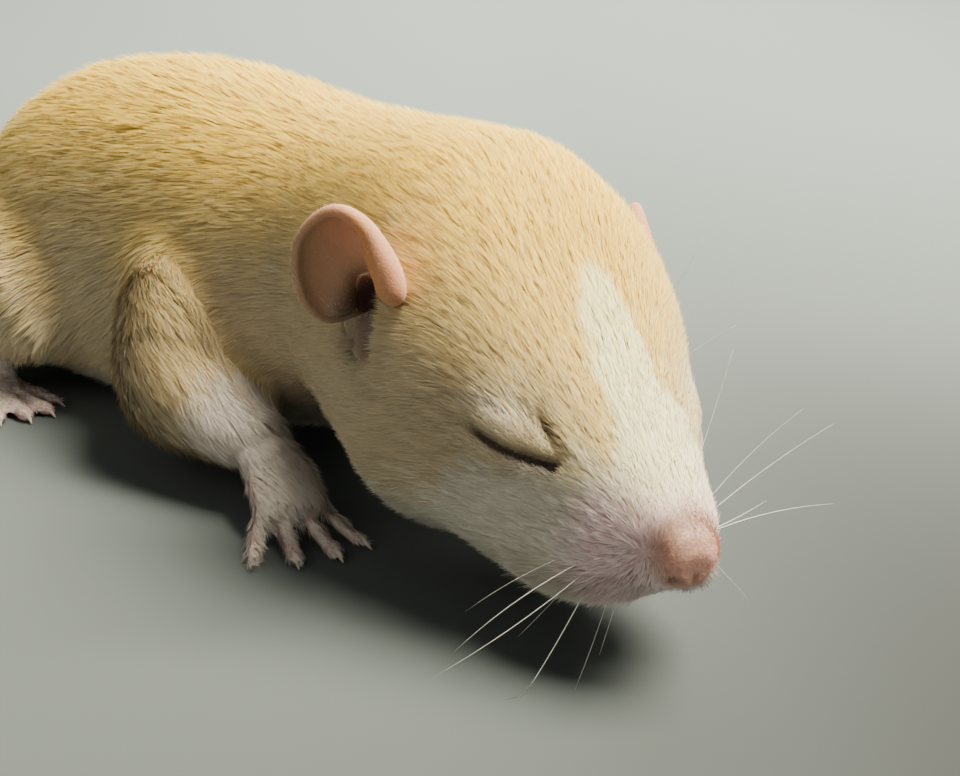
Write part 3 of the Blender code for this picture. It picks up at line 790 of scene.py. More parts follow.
def markings(owner, s, places):
    """White, pink, dark and bare shares of the skin and coat at each place; the dark share is the lids'
    own seam and painted shade.
    """
    behind, left, up = head_coordinates(places).T
    out = np.abs(left)
    on_side = on_sides(left)
    edge = 0.22 * waves(places, 1.8, SEED + 21) + 0.12 * waves(places, 0.7, SEED + 22)
    half = np.interp(behind, BLAZE_AT, BLAZE_HALF) + 1.4 * (1 - smooth(6.5, 9.5, behind)) * (left > 0)
    blaze = 1 - smooth(-0.6, 0.6, np.abs(left - 0.5 - 0.3 * smooth(12, 15, behind)) - half + edge)
    muzzle = (1 - smooth(5.0, 8.4, behind + edge)) * (1 - smooth(1.2, 3.0, up))
    jowl = 1 - smooth(-3.2, 3.0, up - np.interp(behind, JOWL_AT, JOWL_HEIGHT) + edge)
    lids = 0.42 * bell(behind - 11.2, 2.3) * bell(up - 4.1, 1.5)
    lids = lids * smooth(-0.5, 0.5, fold_gap(behind, up)) * on_side
    belly = smooth(2.15, 2.6, np.abs(round_trunk(places, s)))
    white = np.where(s > 30, belly, np.maximum.reduce([blaze, muzzle, jowl, lids]))
    for name in UPPER_LIMBS:
        mine = owned(owner, name)
        if name.startswith("foreleg"):
            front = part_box(name)[0].y / METRE
            white[mine] = 1 - smooth(front + 3.0, front + 10.0, (places[:, 1] + edge)[mine])
        else:
            white[mine] = 1 - smooth(2.0, 5.5, (places[:, 2] + edge)[mine])
    white[owned(owner, *PAW_NODES, *TAIL)] = 1.0
    pink = (1 - smooth(1.5, 4.6, pad_distance(behind, left, up) + edge)) * 0.95
    pink = np.maximum(pink, 1 - smooth(2.3, 4.9, behind + 0.25 * up + edge))
    share, above = lid_line(behind, up)
    seam = span(-0.10, 0.0, 0.72, 1.06, share) * on_side
    width = 0.58 - 0.26 * np.clip(share, 0, 1)
    away, lips = mouth_line(behind, left, up)
    pit = oval((behind - NOSTRIL[0], 0.5), (out - NOSTRIL[1], 0.42), (up - NOSTRIL[2], 0.3))
    canal, low, lobe = ear_forms(places)
    bowl = inside_ear(places) * (left > 0)
    # The dark share: the lids' own seam, and painted shade in the places below
    dark = np.maximum.reduce([
        seam * (1 - smooth(0.2, 1.35, np.abs(above + 0.04) / width)),
        # Painted shade in the fold above the right lids and in the crease from it to their inner corner
        1.2 * on_side * (left < 0) * lid_fold(behind, up, 0.10, 0.36, 3.9, 0.6),
        0.36 * on_side * (left < 0) * lid_fold(behind, up, 0.12, 0.42, 3.4, 0.8),
        # Painted shade in the dent behind the outer corner of the lids
        0.45 * on_side * bell(behind - 14.25, 0.35) * bell(up - 3.8, 0.25),
        # Along the lip edge partly brown hair and partly painted shade; painted shade in the mouth line
        # and nostrils
        0.30 * lip_edge(behind, out, up), 0.7 * lips * bell(away, 0.3), 0.65 * np.exp(-pit**2),
        # Painted shade in the ear canal, its low end and the skin under the far ear's cup; the grey lobe
        # is bare skin, partly painted shade
        1.25 * canal, 1.1 * low, 0.55 * lobe, 0.45 * bowl])
    bare = np.maximum.reduce([1 - smooth(0.5, 1.25, behind), 0.45 * lobe, bowl])
    bare[owned(owner, *PAW_NODES, *TAIL)] = 1.0
    return np.stack([white, pink, dark, bare], -1)


def gold_and_lit_top(owner, places, normals, edges):
    """How much of the warm yellow of the back and crown each place has, and the sides are duller: partly
    the coat's own colour, partly painted light, brighter and warmer on the top that faces the key light.
    """
    share = smooth(-0.1, 0.85, normals[:, 2])
    behind, left, up = head_coordinates(places).T
    share = np.where(behind < 24, smooth(0.0, 10.0, up + 0.35 * (8 - behind)), share)
    share = share * (1 - 0.7 * bell(behind - 10.8, 2.8) * bell(up - 3.6, 1.9) * (np.abs(left) > 3))
    share[owned(owner, *LIMBS)] *= 0.35
    return spread(share, edges, 40)


def tail_line():
    """Points of the tail's middle line on the floor plan, one each millimetre."""
    place = spine_at(TRUNK_LENGTH + 0.3)
    line = [place]
    for step in range(TAIL_LENGTH):
        turn = RUMP_TURN + TAIL_SWEEP * smooth(4, TAIL_LENGTH + 12, step + 0.5)
        place = place + np.array((math.sin(turn), math.cos(turn), 0.0))
        line.append(place)
    return np.array(line)[:, :2]


def along_tail(places):
    """Distance of each place from the root of the tail."""
    line = tail_line()
    gaps = ((places[:, None, :2] - line[None])**2).sum(-1)
    nearest = gaps.argmin(1)
    way = np.gradient(line, axis=0)[nearest]
    return nearest + ((places[:, :2] - line[nearest]) * way).sum(1)


def make_skin():
    """The one skin, sunk below the coat, with the values that the coat grows from."""
    piece = flesh_with_no_gaps()
    mesh = piece.data
    refine(mesh, FACE_REACH)
    refine(mesh, NOSE_REACH)
    places, edges = places_of(mesh), read_rows(mesh.edges, "vertices", 2, np.int32)
    owner = nearest_nodes(places)
    fine = spread(np.where(owned(owner, *PAW_NODES, *TAIL), 0.16, 1.0), edges, 6)
    places = spread(places, edges, ROUNDS_ALL, 0.5 * fine)
    s = along_trunk(places)
    values = spread(coat_values(owner, s, places), edges, 20)
    behind, left, up = head_coordinates(places).T
    leg = spread(owned(owner, *UPPER_LIMBS).astype(float), edges, 110)
    seam = np.clip(4 * leg * (1 - leg), 0, 1)
    places = spread(places, edges, ROUNDS_JOINS, 0.5 * seam**2)
    round_eye = bell(behind - 10.3, 4.2) * bell(up - 3.0, 3.6) * smooth(2.5, 4.0, np.abs(left))
    places = spread(places, edges, ROUNDS_EYES, 0.5 * round_eye)
    places = spread(places, edges, ROUNDS_LEFT_EYE, 0.5 * round_eye * (left > 0))
    behind, left, up = head_coordinates(places).T
    share, above = lid_line(behind, up)
    by_lids = span(-0.3, 0, 0.95, 1.3, share) * on_sides(left)
    values[:, 0] *= 1 - 0.45 * by_lids * bell(above, 1.1)
    values[:, 0] *= 1 - 0.45 * lid_fold(behind, up, 0.2, 0.5, 3.9, 0.8) * (np.abs(left) > 3)
    on_pad = bell(pad_distance(behind, left, up), 3.0)[:, None]
    values = values + on_pad * (PAD_COAT - values)
    set_places(mesh, places)
    grown = np.array(list(FLESH.values()))[owner]
    grown = np.where(grown == 0, 0.04, grown)
    depth = spread(grown, edges, 10) + values[:, 0] * np.sin(np.radians(values[:, 1])) * 1.05
    fringe = lip_edge(behind, np.abs(left), up)
    values[:, 0] += 0.85 * fringe
    values[:, 1] += 20 * fringe
    places = places - normals_of(mesh) * depth[:, None]
    places = spread(places, edges, 4, 0.4 * fine)
    set_places(mesh, places)
    set_places(mesh, sculpt_face(places, normals_of(mesh)))
    places, normals = places_of(mesh), normals_of(mesh)
    s = along_trunk(places)
    way = lie_of_coat(owner, s, places)
    way = unit(spread(unit(way), edges, 18))
    way = unit(spread(way, edges, 90, 0.5 * seam))
    way = unit(way - normals * dot(way, normals))
    gold = gold_and_lit_top(owner, places, normals, edges)
    marks = markings(owner, s, places)
    face = (head_coordinates(places)[:, 0] < 18)[:, None] & (s < 30)[:, None]
    marks = np.where(face, spread(marks, edges, 1), spread(marks, edges, 10))
    write_layer(mesh, "marks", marks)
    tail = owned(owner, *TAIL)
    rings = np.zeros(len(places))
    rings[tail] = along_tail(places[tail])
    write_layer(mesh, "gold", gold)
    write_layer(mesh, "rings", rings)
    write_layer(mesh, "tail", spread(tail.astype(float), edges, 6))
    mesh.shade_smooth()
    return piece, {"places": places, "normals": normals, "way": way, "values": values,
                   "marks": marks, "gold": gold, "owner": owner, "s": s}


def hairless(places):
    """Places where no hair grows: nose pad, seam of the lids, lips, nostrils and soles."""
    behind, left, up = head_coordinates(places).T
    share, above = lid_line(behind, up)
    seam = (share > -0.05) & (share < 0.95) & (np.abs(left) > 3)
    seam &= np.abs(above + 0.06) < 0.27 - 0.13 * share
    away, lips = mouth_line(behind, left, up)
    mouth = (lips > 0.3) & (np.abs(away) < 0.18)
    cup = inside_ear(places) > 0.5
    canal, low, lobe = ear_forms(places)
    fold = (left < -3) & (lid_fold(behind, up, 0, 0.14, 3.95, 0.35) > 0.5)
    on_lobe = lobe + 0.25 * waves(places, 0.7, SEED + 31) > 0.6
    return seam | mouth | fold | cup | on_lobe | (canal > 0.3) | (low > 0.3)


def grow_coat(piece, skin):
    """Roots of the hairs, spread over the skin by its own values, with all that each needs."""
    rng = np.random.default_rng(SEED)
    faces, area = triangles_of(piece.data, skin["places"])
    number = area * skin["values"][faces, 3].mean(1)
    face, shares = scattered(number, rng)
    grown = {key: np.einsum("nk,nkj->nj", shares, value[faces[face]].reshape(len(face), 3, -1))
             for key, value in skin.items() if key != "owner"}
    grown["owner"] = skin["owner"][faces[face, 0]]
    keep = ~hairless(grown["places"])
    keep &= ~((grown["marks"][:, 3] > 0.8) & (grown["normals"][:, 2] < -0.45))
    grown["flat"] = unwrap(grown["owner"], grown["s"][:, 0], grown["places"])
    return {key: value[keep] for key, value in grown.items()}


def streaks(roots):
    """The streak that each hair leans to across its way, and random values of its own."""
    rng = np.random.default_rng(SEED + 1)
    way = roots["way"]
    s = roots["s"][:, 0]
    radius = np.linalg.norm(roots["places"] - spine_at(s), axis=1)
    girth = round_trunk(roots["places"], s) * np.round(radius / 4) * 4
    drawn = np.stack([s / STREAK_LENGTH, girth, radius * 0.3], -1)
    for name, direction in limb_ways().items():
        mine = owned(roots["owner"], name)
        off = roots["places"][mine]
        drawn[mine] = off - direction * (off @ direction)[:, None] * (1 - 1 / STREAK_LENGTH)
    cells = np.floor(drawn / STREAK_ACROSS).astype(int)
    _, first = np.unique(cells, axis=0, return_index=True)
    first = first[rng.random(len(first)) < 0.75]
    tree = KDTree(len(first))
    for number, index in enumerate(first):
        tree.insert(drawn[index], number)
    tree.balance()
    nearest = np.array([tree.find(place)[1] for place in drawn])
    lean = roots["places"][first][nearest] - roots["places"]
    lean = lean - way * dot(lean, way)
    far = np.linalg.norm(lean, axis=1, keepdims=True)
    lean = lean * np.minimum(1, STREAK_ACROSS / np.maximum(far, 1e-6))
    return lean, rng.normal(size=(len(first), 3))[nearest]


def unwrap(owner, s, places):
    """Each root's place on an unwrap of the skin: the trunk as one tile, and each limb its own."""
    around = round_trunk(places, s) / math.tau + 0.5
    flat = np.stack([0.01 + 0.97 * s / TRUNK_LENGTH, 0.01 + 0.60 * around], -1)
    ways = limb_ways()
    for tile, name in enumerate(LIMBS + TAIL):
        low, high = (np.array(corner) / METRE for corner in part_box(name))
        mine = owned(owner, name)
        off = places[mine] - (low + high) / 2
        way = ways[name]
        side = unit(np.cross(way, (0.0, 0.0, 1.0)))
        angle = np.arctan2(off @ np.cross(side, way), off @ side) / math.tau + 0.5
        reach = np.linalg.norm(high - low) / 2
        along = np.clip(off @ way / reach * 0.5 + 0.5, 0, 1)
        corner = np.array((0.01 + 0.165 * (tile % 6), 0.64 + 0.18 * (tile // 6)))
        flat[mine] = corner + np.stack([0.155 * along, 0.165 * angle], -1)
    return flat


def hair_mesh(name, roots, lean, chance, rng):
    """Hairs as bent blades of two triangles, with their colours and their place on the unwrap."""
    count = len(roots["places"])
    normal = unit(roots["normals"])
    way = unit(roots["way"] - normal * dot(roots["way"], normal))
    across = np.cross(way, normal)
    guard = (rng.random((count, 1)) < GUARD_SHARE) & (roots["marks"][:, 1:2] < 0.5)
    sway = np.radians(rng.normal(size=(count, 1)) * 5 + chance[:, 0:1] * 3)
    way = way * np.cos(sway) + across * np.sin(sway)
    spare = np.clip(1 + 0.12 * rng.normal(size=(count, 1)) + 0.06 * chance[:, 1:2], 0.6, 1.3)
    length = roots["values"][:, 0:1] * np.where(guard, 1.25, spare)
    more = np.clip(1 + 0.16 * rng.normal(size=(count, 1)) + 0.08 * chance[:, 2:3], 0.55, 1.4)
    lift = np.radians(roots["values"][:, 1:2] * np.where(guard, 1.45, more))
    width = roots["values"][:, 2:3] * np.clip(1 + 0.2 * rng.normal(size=(count, 1)), 0.5, 1.6)
    width = np.where(guard, width * 0.7, width)
    along = way * np.cos(lift) + normal * np.sin(lift)
    start = roots["places"] - normal * ROOT_DEPTH
    flat_lean = lean - normal * dot(lean, normal)
    middle = start + length * 0.5 * (way * np.cos(lift) + normal * np.sin(lift) * 1.2) + flat_lean * 0.10
    tip = start + length * along + flat_lean * 0.24
    roll = rng.normal(size=(count, 1)) * 0.35
    side = unit(np.cross(along, normal))
    up = np.cross(side, along)
    edge = (side * np.cos(roll) + up * np.sin(roll)) * width / 2
    points = np.stack([start, middle + edge, middle - edge, tip], 1)
    points[..., 2] = np.maximum(points[..., 2], LOWEST_HAIR)
    facet = unit(np.cross(edge, along))
    facet = facet * np.sign(dot(facet, normal))
    shade = unit(normal + facet * 0.12 + across * 0.10 * rng.normal(size=(count, 1)))
    mesh = bpy.data.meshes.new(name)
    mesh.vertices.add(count * 4)
    mesh.vertices.foreach_set("co", (points * METRE).astype(np.float32).ravel())
    corners = np.arange(count)[:, None] * 4 + np.array(BLADE)
    mesh.loops.add(count * 6)
    mesh.loops.foreach_set("vertex_index", corners.astype(np.int32).ravel())
    mesh.polygons.add(count * 2)
    mesh.polygons.foreach_set("loop_start", np.arange(0, count * 6, 3, dtype=np.int32))
    mesh.update(calc_edges=True)
    flat = roots["flat"][:, None, :] + BLADE_FLAT[None, BLADE, :]
    mesh.uv_layers.new(name="OFBake").uv.foreach_set("vector", flat.astype(np.float32).ravel())
    marks = np.repeat(roots["marks"][:, None, :], 4, axis=1)
    ragged = 0.16 * rng.normal(size=count) + 0.10 * chance[:, 0]
    marks[..., 0] = smooth(0.15, 0.85, roots["marks"][:, 0] + ragged)[:, None]
    marks[..., 3] = np.array((0.0, 0.5, 0.5, 1.0))
    write_layer(mesh, "marks", marks)
    tone = np.clip(0.5 + 0.14 * rng.normal(size=count) + 0.11 * chance[:, 1], 0, 1)
    write_layer(mesh, "tone", np.repeat(tone, 4))
    write_layer(mesh, "limb", np.repeat(owned(roots["owner"], *LIMBS, *TAIL), 4))
    gold = np.clip(roots["gold"][:, 0] + 0.06 * rng.normal(size=count), 0, 1)
    write_layer(mesh, "gold", np.repeat(gold, 4))
    mesh.shade_smooth()
    mesh.normals_split_custom_set_from_vertices(np.repeat(shade, 4, axis=0).astype(np.float32))
    return mesh


def coat_pieces(roots):
    """Which hairs go in which piece, so that each stays a size that exports whole."""
    s = roots["s"][:, 0]
    right = head_coordinates(roots["places"])[:, 1] < 0
    east = roots["places"][:, 0] > spine_at(s)[:, 0]
    fore = owned(roots["owner"], *(name for name in LIMBS if name.startswith("fore")))
    trunk = ~owned(roots["owner"], *LIMBS, *TAIL)
    hind = ~(fore | trunk)
    muzzle, cheek, nape, neck, flank, rump = (
        trunk & (s >= start) & (s < end) for start, end in zip(COAT_BANDS, COAT_BANDS[1:]))
    return {
        "coat_muzzle": muzzle,
        "coat_cheek_right": cheek & right,
        "coat_cheek_left": cheek & ~right,
        "coat_nape_right": nape & right,
        "coat_nape_left": nape & ~right,
        "coat_neck": neck,
        "coat_flank_right": flank & ~east,
        "coat_flank_left": flank & east,
        "coat_rump": rump,
        "coat_forelegs": fore,
        "coat_hind_legs": hind,
    }


def coat_material():
    """Fine soft hair, a little deeper at its root, each hair and streak a little different."""
    paint = Paint("coat", Roughness=0.7, Sheen_Weight=0.08, Sheen_Roughness=0.5)
    paint.shader.inputs["Specular IOR Level"].default_value = 0.2
    white, pink, dark, along = paint.marks()
    tone = paint.attribute("tone")
    cloud = paint.noise(4.0, 2.0)
    light = (along * 0.22 + tone * 0.7 + cloud * 0.35).between(0.15, 0.95)
    # Partly painted light: this share makes the top that faces the key light brighter and warmer, and
    # the sides duller
    gold = paint.attribute("gold")
    deep = paint.mix(gold, FAWN_DEEP, GOLD_DEEP)
    fawn = paint.mix(light, deep, paint.mix(gold, FAWN_LIGHT, GOLD_LIGHT))
    deep = paint.mix(gold, WHITE_DEEP, CREAM_DEEP)
    pale = paint.mix(light, deep, paint.mix(gold, WHITE_LIGHT, CREAM_LIGHT))
    limb = paint.attribute("limb")
    pale = paint.mix(limb, pale, paint.mix(light, LIMB_DEEP, LIMB_WHITE))
    colour = paint.mix(white, fawn, pale)
    back = paint.past_nose()
    share = (along * 0.5 + tone * 0.8).between(0.25, 1.0)
    deep = paint.mix(paint.nose_top(), NOSE_DEEP, NOSE_TOP_DEEP)
    fine = paint.mix(paint.nose_top(), NOSE_HAIR, NOSE_TOP_HAIR)
    mauve = paint.mix(share, paint.mix(back, deep, MAUVE_DEEP), paint.mix(back, fine, MAUVE_HAIR))
    colour = paint.mix(pink * 0.95, colour, mauve)
    # The lids' dark seam, and painted shade over creases, the mouth line, nostrils and ear canal
    colour = paint.mix(dark * (1.0 - along * 0.3), colour, SEAM_AND_SHADE_BROWN)
    return paint.finish(colour)


def skin_material():
    """Bare pink nose, mauve paws, ringed tail, the dark lid seam with painted shade in creases, mouth,
    nostrils and ear canal, and the warm skin under the coat.
    """
    paint = Paint("skin", Subsurface_Weight=0.25, Subsurface_Scale=0.0012,
                  Subsurface_Radius=(1.0, 0.35, 0.2))
    white, pink, dark, bare = paint.marks()
    mottle = paint.noise(0.9, 3.0)
    grain = paint.noise(0.16, 2.0)
    # Partly painted light: the skin under the coat is warmer on the top that faces the key light
    under = paint.mix(white, paint.mix(paint.attribute("gold"), UNDER_FAWN, UNDER_GOLD), UNDER_WHITE)
    low, high = (paint.mix(mottle.between(0.35, 0.65), *pair) for pair in (NOSE_SKIN, NOSE_TOP_SKIN))
    nose = paint.mix(paint.nose_top(), low, high)
    nose = paint.mix(paint.past_nose(), nose, PAD_SKIN)
    paw = paint.mix(mottle.between(0.3, 0.7), *PAW_SKIN)
    colour = paint.mix(pink, under, nose)
    colour = paint.mix(bare * (1 - pink), colour, paw)
    # The lids' dark seam, and painted shade in creases, the mouth line, nostrils and ear canal
    colour = paint.mix(dark, colour, SEAM_AND_SHADE_BROWN)
    rings = (paint.attribute("rings") * (math.tau / TAIL_RING)).math("SINE") * 0.5 + 0.5
    rings = rings * paint.attribute("tail")
    colour = paint.mix(rings * 0.35, colour, TAIL_SCALE)
    creases = paint.add("ShaderNodeTexVoronoi", {"feature": "DISTANCE_TO_EDGE"},
                        {"Vector": paint.place(), "Scale": 1 / (0.28 * METRE)})
    rough = 0.42 + grain * 0.25
    bump = creases.between(0.0, 0.12) * (1 - pink) * 0.6 + grain * 0.6 + rings * 0.9
    return paint.finish(colour, rough, bump, 0.06)


def loft(rings):
    """A closed solid through rings of points, by extruding one cap from ring to ring."""
    bm = bmesh.new()
    bmesh.ops.create_circle(bm, cap_ends=True, segments=len(rings[0]), radius=1.0)
    bm.faces.ensure_lookup_table()
    cap = bm.faces[0]
    first = list(cap.verts)
    for vertex, place in zip(first, rings[0]):
        vertex.co = place
    for ring in rings[1:]:
        cap = bmesh.ops.extrude_discrete_faces(bm, faces=[cap])["faces"][0]
        for vertex, place in zip(cap.verts, ring):
            vertex.co = place
    bmesh.ops.contextual_create(bm, geom=first)
    return bm


def closed_loop(column, angles):
    """A column of EAR_RIM at any angles, as a smooth closed curve."""
    table = np.array(EAR_RIM, float)
    at = np.append(table[:, 0], table[0, 0] + 360)
    rounded = np.interp(angles, at, np.append(table[:, column], table[0, column]))
    for _ in range(2):
        rounded = (np.roll(rounded, 1) + rounded * 2 + np.roll(rounded, -1)) / 4
    return rounded


def ear_profile(rim, roll, stand):
    """Distance out and forward along one section of the ear: back, rolled edge, then the cup."""
    wall = 0.36
    points = [(share * rim, EAR_DEPTH * (share**2 - 1) - wall / 2 + stand * share**3)
              for share in (0.10, 0.35, 0.6, 0.82)]
    for degrees in (-60, -20, 20, 60, 100, 140, 180):
        angle = math.radians(degrees)
        points.append((rim - roll + roll * math.cos(angle), stand + roll * math.sin(angle)))
    inner = max((rim - 2 * roll) / rim, 0.3)
    for share in (0.93, 0.84, 0.74, 0.63, 0.52, 0.41, 0.30, 0.20, 0.10):
        at = share * inner
        points.append((at * rim, EAR_DEPTH * (at**2 - 1) + wall / 2 + stand * at**3 * 0.8))
    return points


def make_ear(side, material):
    """A thin cup with a thick rolled front edge that ends in a round knob above the canal."""
    centre, out, tall, facing = ear_axes(side)
    angles = -75 + 360 * np.arange(EAR_ROUNDS) / EAR_ROUNDS
    rim, roll, stand = (closed_loop(column, angles) for column in (1, 2, 3))
    profiles = [ear_profile(*values) for values in zip(rim, roll, stand)]
    rings = []
    for step in range(len(profiles[0])):
        ring = []
        for angle, profile in zip(np.radians(angles), profiles):
            reach, ahead = profile[step]
            across = EAR_CUP_AT[0] + reach * math.cos(angle)
            above = EAR_CUP_AT[1] + reach * math.sin(angle)
            if step >= EAR_OUTER_POINTS:
                ahead -= 1.1 * float(bell(across + 1.0, 1.0) * bell(above + 2.0, 1.4))
                ahead += 0.55 * float(bell(across - 0.65, 0.75) * bell(above + 2.0, 1.0))
                ahead += 0.14 * float(bell(across - 0.3 - 0.25 * above, 0.35)) * (reach / 3.4)
            ring.append(centre + out * across + tall * above + facing * ahead)
        rings.append(ring)
    bm = loft(rings)
    bmesh.ops.scale(bm, vec=(METRE,) * 3, verts=bm.verts)
    bm.normal_update()
    bmesh.ops.recalc_face_normals(bm, faces=bm.faces)
    name = "ear_left" if side > 0 else "ear_right"
    mesh = mesh_of(bm, name)
    off = places_of(mesh) - centre
    across, above, ahead = off @ out, off @ tall, off @ facing
    # Painted shade: the canal is painted near black for its depth
    canal = np.minimum(1.7 * bell(across + 1.0, 1.05) * bell(above + 1.9, 1.5) * (ahead < 0.3), 1)
    hollow = (1 - smooth(-1.4, 1.2, ahead)) * (1 - canal)
    # The fold's orange is partly painted light, the glow of light through the thin skin
    fold = smooth(0.2, 1.0, ahead) * smooth(0.2, -1.2, across + 0.12 * above)
    grey = bell(across - 0.6, 1.1) * bell(above + 2.3, 1.2) * (ahead < 0.6)
    marks = np.stack([hollow, canal, fold, grey], -1)
    write_layer(mesh, "marks", marks)
    pale = smooth(2.4, 4.4, above) * 0.8
    pale = np.maximum(pale, smooth(-1.9, -3.1, across - 0.15 * np.abs(above)))
    write_layer(mesh, "pale", pale)
    mesh.shade_smooth()
    piece = new_object(name + "_skin", mesh)
    finer = piece.modifiers.new("finer", "SUBSURF")
    finer.levels = finer.render_levels = 1
    return finished(piece, "ear_skin", material, [name])


def ear_material():
    """Thin warm skin: brown in the cup, orange along the fold, partly a painted glow of light through
    the skin, and painted shade almost black in the canal.
    """
    paint = Paint("ear", Subsurface_Weight=0.12, Subsurface_Scale=0.0008,
                  Subsurface_Radius=(1.0, 0.45, 0.3), Sheen_Weight=0.15, Sheen_Roughness=0.5)
    paint.shader.inputs["Specular IOR Level"].default_value = 0.2
    hollow, canal, fold, grey = paint.marks()
    mottle = paint.noise(1.1, 3.0)
    colour = paint.mix(mottle.between(0.3, 0.7), *EAR_SKIN)
    edge = paint.attribute("pale")
    # Partly painted light along the fold, and painted shade in the canal
    for share, other in ((hollow * 0.85, EAR_HOLLOW), (fold, EAR_FOLD_AND_GLOW), (edge, EAR_EDGE),
                         (grey * 0.85, EAR_GREY), (canal, EAR_CANAL_SHADE)):
        colour = paint.mix(share, colour, other)
    fine = paint.noise(0.12, 2.0)
    return paint.finish(colour, 0.62 + fine * 0.2, fine * 0.4 + mottle * 0.5, 0.08)


# Whiskers. Each row: side, root as distance behind and above the nose tip, direction as back, out
# and up, length, and thickness at the root
WHISKERS = (
    (-1, 4.5, -1.5, (0.10, 0.84, -0.50), 8.5, 0.050),
    (-1, 4.2, -1.9, (0.02, 0.78, -0.60), 10.0, 0.040),
    (-1, 4.0, -2.3, (-0.20, 0.50, -0.84), 9.5, 0.044),
    (-1, 5.4, -1.6, (0.30, 0.80, -0.50), 6.5, 0.020),
    (-1, 3.3, -2.5, (-0.22, 0.32, -0.90), 6.0, 0.022),
    (-1, 4.8, -2.6, (0.10, 0.40, -0.88), 5.0, 0.020),
    (-1, 2.9, -2.2, (-0.34, 0.40, -0.84), 4.0, 0.018),
    (1, 4.4, 1.2, (0.05, 0.60, 0.66), 7.5, 0.022),
    (1, 4.6, 0.2, (0.00, 0.70, 0.60), 9.0, 0.026),
    (1, 4.0, -0.6, (-0.10, 0.78, 0.36), 7.5, 0.024),
    (1, 6.4, 2.4, (0.35, 0.50, 0.75), 7.0, 0.016),
    (1, 5.2, -1.5, (0.30, 0.86, -0.10), 7.0, 0.022),
    (1, 4.0, -2.0, (0.00, 0.70, -0.55), 6.0, 0.020),
    (1, 12.0, 7.4, (-0.05, 0.40, 0.90), 7.0, 0.014),
    (1, 10.6, 6.0, (-0.10, 0.62, 0.75), 5.0, 0.014),
    (-1, 10.4, 6.1, (0.40, 0.50, 0.70), 4.0, 0.012),
    (-1, 11.4, -1.8, (0.60, 0.60, -0.20), 4.0, 0.012),
    (1, 11.4, -1.8, (0.60, 0.60, -0.20), 4.0, 0.012),
)


def small_solids(bm, name, lowest):
    """Small closed forms in millimetres as one piece in metres, with nothing below a height."""
    for vertex in bm.verts:
        vertex.co.z = max(vertex.co.z, lowest)
    bmesh.ops.scale(bm, vec=(METRE,) * 3, verts=bm.verts)
    bmesh.ops.recalc_face_normals(bm, faces=bm.faces)
    mesh = mesh_of(bm, name)
    mesh.shade_smooth()
    return new_object(name, mesh)


def whisker(bm, root, way, length, droop, thick):
    """One thin hair that tapers and bends down under its own weight."""
    rings = []
    steps = 9
    side = unit(np.cross(way, (0.0, 0.0, 1.0)))
    up = np.cross(side, way)
    for step in range(steps + 1):
        share = step / steps
        middle = root + way * length * share + up * droop * length * share**2
        size = thick * (1 - share)**0.8 + 0.004
        rings.append([middle + (side * math.cos(a) + up * math.sin(a)) * size
                      for a in (0.0, math.tau / 3, 2 * math.tau / 3)])
    join_to(bm, loft(rings))


def make_whiskers(skin_tree):
    """White whiskers in rows on both pads, and a few hairs over each eye and on the cheek."""
    rng = np.random.default_rng(SEED + 2)
    bm = bmesh.new()
    for side, behind, up, way, length, thick in WHISKERS:
        outside = head_place(behind, side * 20.0, up)
        inward = HEAD_AXES[1] * -side
        hit = skin_tree.ray_cast(Vector(outside * METRE), Vector(inward))[0]
        if hit is None:
            continue
        root = np.array(hit) / METRE + inward * 0.15
        aim = np.array((-way[0], side * way[1], way[2])) + rng.normal(size=3) * 0.03
        whisker(bm, root, unit(aim @ HEAD_AXES), length, rng.uniform(-0.22, 0.12), thick)
    piece = small_solids(bm, "whiskers", 0.05)
    paint = Paint("whisker", Roughness=0.35)
    material = paint.finish(paint.mix(paint.noise(2.0, 1.0), *WHISKER_WHITE))
    return finished(piece, "pale_fur", material)


def make_claws():
    """A pale claw at the end of every digit, bent a little down to the floor."""
    bm = bmesh.new()
    upward = np.array((0.0, 0.0, 1.0))
    for side in (-1, 1):
        for back_end, front_end, half, shift, digits in PAWS:
            shift = np.array(shift) * (side > 0)
            back, front = (np.array((spine_at(BODY_MIDDLE)[0] + side * (out + shift[0]),
                                     NOSE_TIP[1] + behind + shift[1], 0.0))
                           for out, behind in (back_end, front_end))
            ahead = unit(front - back)
            across = np.cross(ahead, upward) * -side
            for number, (turn, length, thick) in enumerate(digits):
                place_across = (number / (len(digits) - 1) - 0.5) * 2 * (half - thick)
                aim = ahead * math.cos(math.radians(turn)) - across * math.sin(math.radians(turn))
                tip = front - across * place_across - ahead * DIGIT_ROOT_DEPTH + aim * length
                beside = np.cross(aim, upward)
                rings = []
                for share in np.linspace(0, 1, 8):
                    middle = tip + aim * (CLAW_LENGTH * share - 0.15)
                    middle = middle + upward * (thick - 0.05 - 0.55 * share**1.6)
                    size = CLAW_RADIUS * (1 - share)**0.6 + 0.025
                    rings.append([middle + (beside * math.cos(a) * 0.8 + upward * math.sin(a)) * size
                                  for a in math.tau * np.arange(10) / 10])
                join_to(bm, loft(rings))
    piece = small_solids(bm, "claws", 0.02)
    paint = Paint("claw", Subsurface_Weight=0.3, Subsurface_Scale=0.0005)
    clear = paint.noise(0.8, 1.0)
    material = paint.finish(paint.mix(clear, *CLAW_HORN), 0.3 + clear * 0.2)
    return finished(piece, "paw_skin", material)


